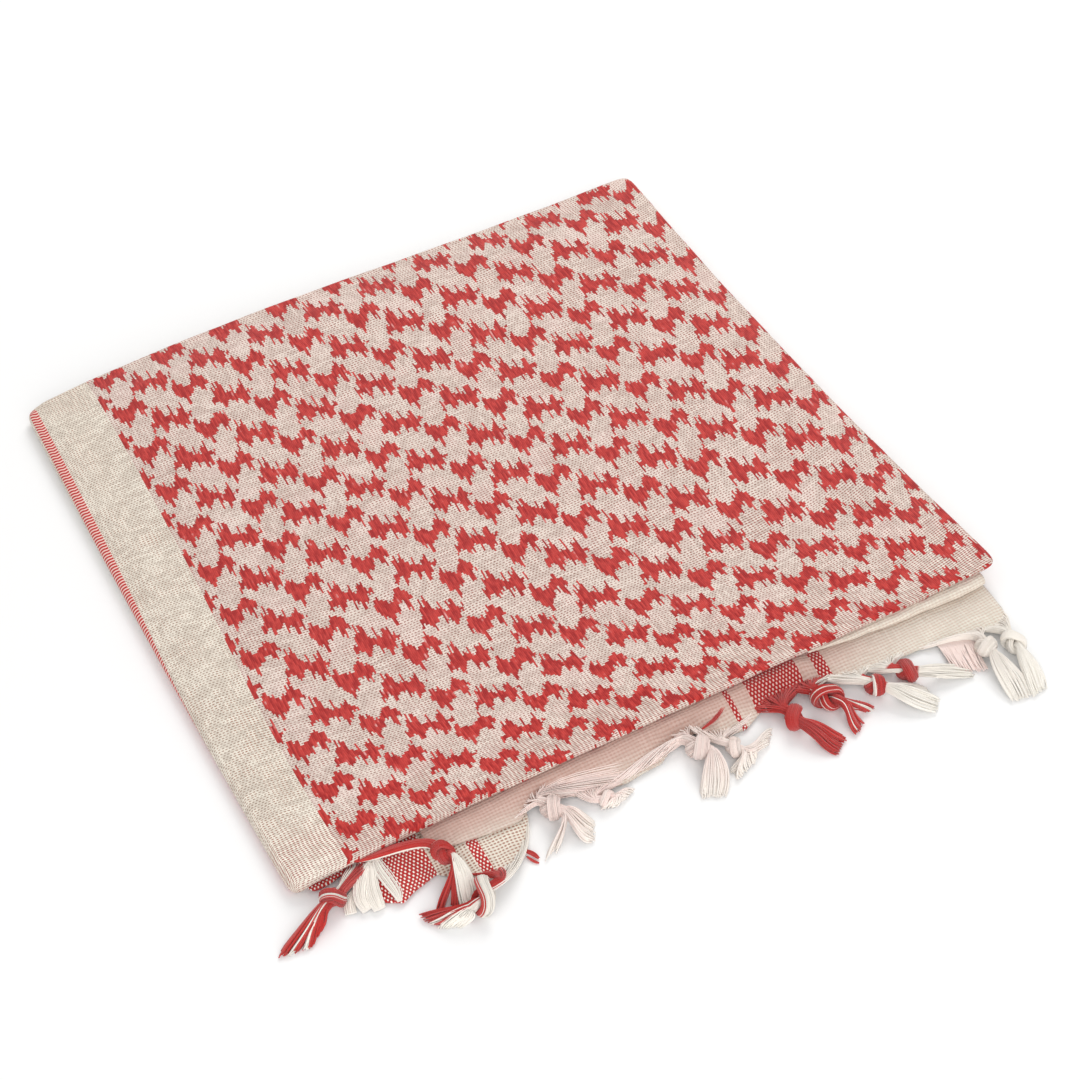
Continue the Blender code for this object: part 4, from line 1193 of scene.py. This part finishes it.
def make_cotton_yarn():
    """Soft yarn: its dye, pink tinge and shade come from the yarn, and fine twist from its length."""
    material, w, shader = new_material("cotton yarn", roughness=0.85, sheen=0.3)
    dye = w.node("ShaderNodeAttribute", output="Color", settings={"attribute_name": "dye"})
    red, pink, shade = w.parts(dye)
    white = w.mix(shade * 0.05, w.mix(pink, WHITE, PINK), CREAM_LOW)
    w.put(w.mix(red, white, w.mix(shade, RED, LIGHT_RED)), shader["Base Color"])
    along, around, _ = w.parts(w.place_in_weave())
    twist = ((along * 1.1 + around) * (2.0 * PI)).math("SINE")
    w.put(w.bump(twist, 0.2, 0.0001), shader["Normal"])
    return material


# --- Pieces ---
GRID = 250  # points along each side of the top cloth
NOSE_ANGLES = np.radians(np.linspace(0.0, 180.0, 11))[:, None]
FOLD_ANGLES = np.radians(np.linspace(0.0, 165.0, 11))[:, None]


def edge_profile(rim_x, rim_y):
    """Insets and drops of the top cloth round the rim: the edge turned under, a little uneven, and
    the left fold."""
    left = left_share(rim_x)
    wobble = 0.12 * np.sin(rim_x / 6.1 + rim_y / 7.3) + 0.10 * np.sin(rim_x / 17.0 - rim_y / 13.0)
    turned = turned_profile(turn_thickness(rim_x) * (1.0 + wobble), NOSE_ANGLES)
    fold = fold_profile(top_height(rim_x, rim_y), FOLD_ANGLES)
    return left * fold + (1.0 - left) * turned


def top_cloth_shape():
    """A grid over the pad whose rim goes on round the turned edges and the left fold.

    Inside: plan() of the grid, raised to top_height() and crown(). Beyond the rim: rings at the
    profile's insets and drops, their weave place going on outwards by the way covered."""
    run = np.linspace(-1.0, 1.0, GRID)
    v, u = np.meshgrid(run, run, indexing="ij")
    rim_u, rim_v, outward = square_rim(GRID)
    on_rim = np.ones_like(rim_u)
    inset, drop = edge_profile(*plan(rim_u, rim_v, on_rim, 0.0))
    near_left = 1.0 - smooth(u, -1.0, -0.93)
    radius_in = near_left * inset[0].max() + (1.0 - near_left) * inset[0].min()
    x, y = plan(u, v, np.maximum(np.abs(u), np.abs(v)), radius_in)
    first_x, first_y = plan(rim_u, rim_v, on_rim, inset[0])
    rim = grid_rim(GRID, GRID)
    x.ravel()[rim] = first_x
    y.ravel()[rim] = first_y
    rise = crown(x, y)
    grid = np.stack([x, y, top_height(x, y) + rise], axis=-1).reshape(-1, 3)

    ring_x, ring_y = plan(rim_u, rim_v, on_rim, inset[1:])
    ring_z = top_height(ring_x, ring_y) + rise.ravel()[rim] - drop[1:]
    rings = np.concatenate([grid[rim][None], np.stack([ring_x, ring_y, ring_z], axis=-1)])
    covered = way_along(rings)[1:]
    beyond = thread_count(first_x + outward[:, 0] * covered, first_y + outward[:, 1] * covered)
    loops = np.concatenate([rim[None], GRID**2 + np.arange(covered.size).reshape(covered.shape)])
    inner, outer = loops[:-1], loops[1:]
    sides = np.stack([outer, np.roll(outer, -1, axis=1), np.roll(inner, -1, axis=1), inner], axis=-1)
    points = np.concatenate([grid, rings[1:].reshape(-1, 3)])
    quads = np.concatenate([grid_quads(GRID, GRID), sides.reshape(-1, 4)])
    return points, quads, np.concatenate([thread_count(x, y).reshape(-1, 2), beyond.reshape(-1, 2)])


STACK_STEPS = 110  # points along each side of the stack
STACK_INSETS = (0.7, 1.2, 0.3, 0.9, 1.5, 0.6)  # how far in each hidden layer ends
STACK_GROOVE = 0.9  # how deep the grooves between their round noses are
NOSE_TURNS = (15.0, 50.0, 90.0, 130.0, 165.0)
TOP_DEPTHS = (130.0, 90.0, 50.0, 25.0, 12.0)
BOTTOM_DEPTHS = (4.0, 20.0, 70.0, 130.0)
MEASURED_RING = 20  # the ring along which the weave is counted round the stack
BELOW_FOLD = ((2.3, 0.2), (2.2, 0.08), (2.6, 0.0))  # insets and height shares under the left fold


def layer_noses(x, y, plain):
    """Insets of the hidden layers' round noses, and their heights as shares of the stack's."""
    inset, share = [], []
    for k, stand_in in enumerate(STACK_INSETS):
        wander = 0.5 * np.sin(x / (19.0 + 5.0 * k) + 2.1 * k)
        wander = wander + 0.4 * np.sin(y / (23.0 + 4.0 * k) + 1.3 * k)
        stand_in = stand_in + plain * (0.25 + 0.25 * wander)
        for angle in np.radians(NOSE_TURNS):
            inset.append(stand_in + STACK_GROOVE * (1.0 - np.sin(angle)))
            share.append(1.0 - (k + 0.5 - 0.5 * np.cos(angle)) / len(STACK_INSETS) + 0.0 * x)
    return np.array(inset), np.array(share)


def inside_fold(height, count):
    """The same inside the left fold: part of a circle smaller than the fold's, then in below it."""
    radius = (height - FOLD_CLEARANCE) / 2.0
    angles = np.radians(np.linspace(5.0, 100.0, count - len(BELOW_FOLD)))[:, None]
    inset, drop = half_round(radius, angles, WALL + 0.75)
    share = np.minimum((height - drop) / (height - WALL - GAP), 0.97)
    below = np.array(BELOW_FOLD).T[:, :, None] + 0.0 * height
    return np.concatenate([np.stack([inset, share]), below], axis=1)


def folded_stack_shape():
    """The hidden layers: rings from the middle of the top, out over the layers' round noses, and in
    under the flat bottom."""
    u, v, _ = square_rim(STACK_STEPS)
    on_rim = np.ones_like(u)
    rim_x, rim_y = plan(u, v, on_rim, 0.0)
    left = left_share(rim_x)
    front = (1.0 - smooth(rim_y, 0.5, 14.0)) * (1.0 - left)
    plain = 1.0 - left - front
    inset, share = layer_noses(rim_x, rim_y, plain)
    fold_inset, fold_share = inside_fold(top_height(rim_x, rim_y), len(inset))
    inset = (1.0 - left) * (inset + front * FRONT_SETBACK) + left * fold_inset
    share = (1.0 - left) * share + left * fold_share
    edge_drop = WALL + plain * (turn_thickness(rim_x) - WALL) + GAP

    above = [depth + front * max(0.0, FRONT_SETBACK + 2.0 - depth) for depth in TOP_DEPTHS]
    below = [depth + front * FRONT_SETBACK for depth in BOTTOM_DEPTHS]
    x, y = plan(u, v, on_rim, np.array([*above, *inset, *below]))
    top = top_height(x, y)
    noses = slice(len(above), len(above) + len(inset))
    z = np.zeros_like(top)
    z[: len(above)] = top[: len(above)] - 2.0 * WALL - GAP
    z[noses] = share * (top[noses] - edge_drop)
    rings = np.stack([x, y, z], axis=-1)
    way = way_along(rings)
    around = np.broadcast_to(way_along(rings[MEASURED_RING]), way.shape)
    return ringed_body(rings, np.stack([around, way], axis=-1) / THREAD, turn=-1)


def gathers(x, y, which):
    """Fine ridges in a cloth edge that run together towards each tassel's root."""
    rise = np.zeros_like(x)
    for name, (root_x, root_y, *_) in TASSELS.items():
        if TYING[name][2] == which:
            far = np.hypot(x - root_x, y - root_y + 2.0)
            angle = np.arctan2(x - root_x, y - root_y + 2.0)
            ridges = 0.30 * np.cos(angle * 11.0 + root_x)
            rise += ridges * np.exp(-((far / 9.0) ** 2)) * smooth(far, 0.0, 2.0)
    return rise


def fringed_edge_shape(which, back_of, step=0.9, rows=34):
    """A cloth edge that runs level from under the pad, then falls in an s-curve to its fringe."""
    table, top_of = EDGES[which]
    count = int(round((table[-1, 0] - table[0, 0]) / step)) + 1
    x = np.linspace(table[0, 0], table[-1, 0], count)
    near = np.minimum(1.0, np.minimum(x - x[0], x[-1] - x) / EDGE_CORNER)
    edge_y = read(table, x, 1) + EDGE_CORNER * (1.0 - np.sqrt(near * (2.0 - near)))
    start, back = fall_start(edge_y), back_of(x)
    run = np.linspace(0.0, 1.0, rows)[:, None]
    level_y = back + (start - back) * run / LEVEL_SHARE
    fallen_y = start + (edge_y - start) * (run - LEVEL_SHARE) / (1.0 - LEVEL_SHARE)
    y = np.where(run < LEVEL_SHARE, level_y, fallen_y)
    x = x + 0.0 * run
    soft = 0.22 * np.sin(x / 2.9 + 0.7 * np.sin(y / 2.0)) * np.sin(x / 7.7 + 1.0)
    z = sheet_fall(x, y, table, top_of)
    z = z + smooth(run, LEVEL_SHARE, 0.8) * (soft + gathers(x, y, which))
    z = np.maximum(z, EDGE_THICK + 0.25)
    return wall(np.stack([x, y, z], axis=-1), EDGE_THICK, np.stack([x, y], axis=-1) / THREAD)


def inner_fold_shape():
    """The plain fold at the front right: a bar of cloth with a round nose in front."""
    x = np.linspace(INNER_FOLD[0, 0], INNER_FOLD[-1, 0], 90)[:, None]
    stand = read(INNER_FOLD, x, 2) + 0.12 * np.sin(x / 3.3) + 0.1 * np.sin(x / 1.7 + 1.0)
    top = top_height(x, 0.0 * x) - turn_thickness(x) - GAP - 0.02
    radius = 0.5 * (read(INNER_FOLD, x, 1) - 0.04)
    angles = np.radians(np.linspace(90.0, -90.0, 13))
    back = np.full_like(x, SHEET_BACK)
    y = np.concatenate([back, -stand + radius * (1.0 - np.cos(angles)), back], axis=1)
    z = np.concatenate([top, top - radius + radius * np.sin(angles), top - 2.0 * radius], axis=1)
    rings = np.stack([x + 0.0 * y, y, z], axis=-1)
    way = way_along(rings, axis=1)
    return ringed_body(rings, np.stack([x + 0.0 * way, way], axis=-1) / THREAD)


def evenly_dyed(lines, radius, dye, rng):
    """Yarns of one radius and one dye, its red share and pink tinge, each with a shade of its own."""
    colours = np.empty(lines.shape)
    colours[..., :2] = dye
    colours[..., 2] = rng.random((len(lines), 1))
    return lines, np.full(lines.shape[:2], radius), colours


def laid_yarns(count, radius, line, half_widths, half_heights, dye, seed):
    """Yarns side by side along a line, spread over its width and height."""
    side, up = carried_frames(line)
    u, v = (values[:, None] for values in disc(count))
    offset = side * (u * half_widths)[..., None] + up * (v * half_heights)[..., None]
    return evenly_dyed(on_floor(line + offset, radius), radius, dye, np.random.default_rng(seed))


def hank_lines():
    """The hank's lobes, each bulging with its own width and height."""
    sets = []
    for number, (count, radius, rows) in enumerate(LOOPS):
        line = spline(rows, HANK_STEPS)
        sets.append(laid_yarns(count, radius, line[:, :3], line[:, 3], line[:, 4], (0.0, 0.1), 7 + number))
    return sets


def strand_lines(name):
    """The strands that lie by one tassel, narrow and flat."""
    sets = []
    for number, (beside, count, half_width, red, *points) in enumerate(STRANDS):
        if beside == name:
            line = spline(points, STRAND_STEPS)
            wide = half_width * np.sin(np.pi * np.linspace(0.12, 0.88, STRAND_STEPS))
            sets.append(laid_yarns(count, YARN_RADIUS, line, wide, 0.5 * wide, (red, 0.1), 40 + number))
    return sets


def loose_fringe_lines():
    """Unknotted yarns from the edge to their cut line, swaying a little."""
    (x_from, x_to), first, last = np.array(LOOSE_FRINGE)
    rng = np.random.default_rng(11)
    share = (np.arange(LOOSE_COUNT) + 0.5) / LOOSE_COUNT
    start = edge_place(x_from + (x_to - x_from) * share, "upper", 0.6)
    tip = np.full((LOOSE_COUNT, 3), 0.6)
    tip[:, :2] = first + (last - first) * share[:, None] + rng.normal(0.0, 0.5, (LOOSE_COUNT, 2))
    tip[:, 2] += rng.uniform(0.0, 1.2, LOOSE_COUNT)
    far = np.linalg.norm(tip - start, axis=1)[:, None]
    lines = hermite(start, far * (0.0, -0.8, 0.1), tip, far * (0.0, -0.8, -0.1), LOOSE_STEPS)
    return evenly_dyed(on_floor(lines), 1.4 * YARN_RADIUS, (0.0, 0.65), rng)


# --- The frame's pad, the floor, the lights and the camera ---
def pad_origin():
    """Where the pad's front left corner lies in the frame, in millimetres: the solid's own outline,
    worked out again here, is matched to the box of the frame's top panel."""
    low, high = np.array(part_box("top_panel")) / MM
    u, v, _ = square_rim(16)
    outline = plan(u, v, np.ones_like(u), 0.0)
    middle = [0.5 * (low[k] + high[k] - outline[k].min() - outline[k].max()) for k in range(2)]
    return np.array((*middle, 0.0))


PAD_ORIGIN = pad_origin()


def in_frame(points):
    """Pad millimetres to the frame's metres."""
    return (np.asarray(points) + PAD_ORIGIN) * MM


def make_camera():
    """Turned round the point it looks at by azimuth and elevation, then rolled about its own line."""
    azimuth, elevation, roll = np.radians((CAMERA_AZIMUTH, CAMERA_ELEVATION, CAMERA_ROLL))
    level_back = np.array((-np.sin(azimuth), -np.cos(azimuth), 0.0))
    back = np.cos(elevation) * level_back + np.array((0.0, 0.0, np.sin(elevation)))
    level_right = np.array((np.cos(azimuth), -np.sin(azimuth), 0.0))
    upright = np.cross(back, level_right)
    right = np.cos(roll) * level_right + np.sin(roll) * upright
    up = np.cos(roll) * upright - np.sin(roll) * level_right
    data = bpy.data.cameras.new("camera")
    data.lens = LENS
    data.sensor_width = SENSOR
    data.clip_start = 0.01
    data.clip_end = 20.0
    camera = in_scene("camera", data)
    turn = np.eye(4)
    turn[:3] = np.stack([right, up, back, in_frame(CAMERA_LOOKS_AT) + back * CAMERA_DISTANCE * MM], axis=1)
    camera.matrix_world = Matrix(turn.tolist())
    bpy.context.scene.camera = camera


def soft_light(name, place, size, power, colour):
    """A square light that looks at the frame's origin."""
    data = bpy.data.lights.new(name, "AREA")
    data.shape = "SQUARE"
    data.size = size
    data.energy = power
    data.color = colour
    light = in_scene(name, data)
    light.location = place
    light.rotation_mode = "QUATERNION"
    light.rotation_quaternion = light.location.to_track_quat("Z", "Y")


def make_floor():
    """A plain pale floor, wide enough to fill the view."""
    material = bpy.data.materials.new("pale floor")
    material.use_nodes = True
    shader = material.node_tree.nodes["Principled BSDF"]
    shader.inputs["Base Color"].default_value = FLOOR_COLOUR
    shader.inputs["Roughness"].default_value = 0.9
    shader.inputs["Specular IOR Level"].default_value = 0.1
    mesh = bpy.data.meshes.new("floor")
    corners = [(x * FLOOR_HALF, y * FLOOR_HALF, 0.0) for x, y in ((-1, -1), (1, -1), (1, 1), (-1, 1))]
    mesh.from_pydata(corners, [], [(0, 1, 2, 3)])
    mesh.materials.append(material)
    in_scene("floor", mesh)


def make_light():
    """A bright even surround and soft lights from the back right and the front."""
    world = bpy.data.worlds.new("surround")
    world.use_nodes = True
    surround = world.node_tree.nodes["Background"]
    surround.inputs["Color"].default_value = (1.0, 1.0, 1.0, 1.0)
    surround.inputs["Strength"].default_value = SURROUND
    bpy.context.scene.world = world
    soft_light("back right light", *BACK_LIGHT)
    soft_light("front light", *FRONT_LIGHT)
    bpy.context.scene.view_settings.view_transform = "Standard"


# --- Putting it together ---
def main():
    make_camera()
    make_floor()
    make_light()
    figured = make_figured_cotton()
    plain = make_plain_cotton("plain cotton", CREAM, LAYER_LOW, HOLE_EDGE)
    edge = make_plain_cotton("edge cotton", EDGE_CREAM, EDGE_LOW, HOLE_EDGE, UPPER_BANDS, FOLD_PAINTED_SHADE)
    low_edge = make_plain_cotton("low edge cotton", CREAM, LAYER_LOW, HOLE_CREAM, LOWER_BANDS)
    yarn = make_cotton_yarn()

    top = piece("top_cloth", "top_panel", "patterned_cotton", figured, *top_cloth_shape())
    stack = piece("folded_stack", "folded_layers", "plain_cotton", plain, *folded_stack_shape())
    fold = piece("plain_fold", "inner_fold", "plain_cotton", plain, *inner_fold_shape())
    shape = fringed_edge_shape("upper", level(SHEET_BACK))
    upper = piece("upper_fringed_cloth", "upper_fringed_edge", "striped_cotton", edge, *shape)
    shape = fringed_edge_shape("lower", level(SHEET_BACK))
    lower = piece("lower_fringed_cloth", "lower_fringed_edge", "striped_cotton", low_edge, *shape)
    shape = fringed_edge_shape("corner", lambda x: CORNER_BACK * x - 0.9, step=0.5, rows=16)
    corner = piece("corner_cloth", "corner_layer", "striped_cotton", low_edge, *shape)

    slots = {s["node"]: s["material_slot"] for s in frame["record"]["subparts"]}
    for number, name in enumerate(TASSELS):
        node = "tassel_" + name
        shape = yarn_body([tassel_lines(name, 100 + number), *strand_lines(name)])
        piece("knotted_yarns_" + name, node, slots[node], yarn, *shape)
    hank = piece("white_yarn_hank", "yarn_loops", "white_yarn", yarn, *yarn_body(hank_lines()))
    shape = yarn_body([loose_fringe_lines()])
    loose = piece("loose_pink_yarns", "loose_fringe", "pink_yarn", yarn, *shape)


main()
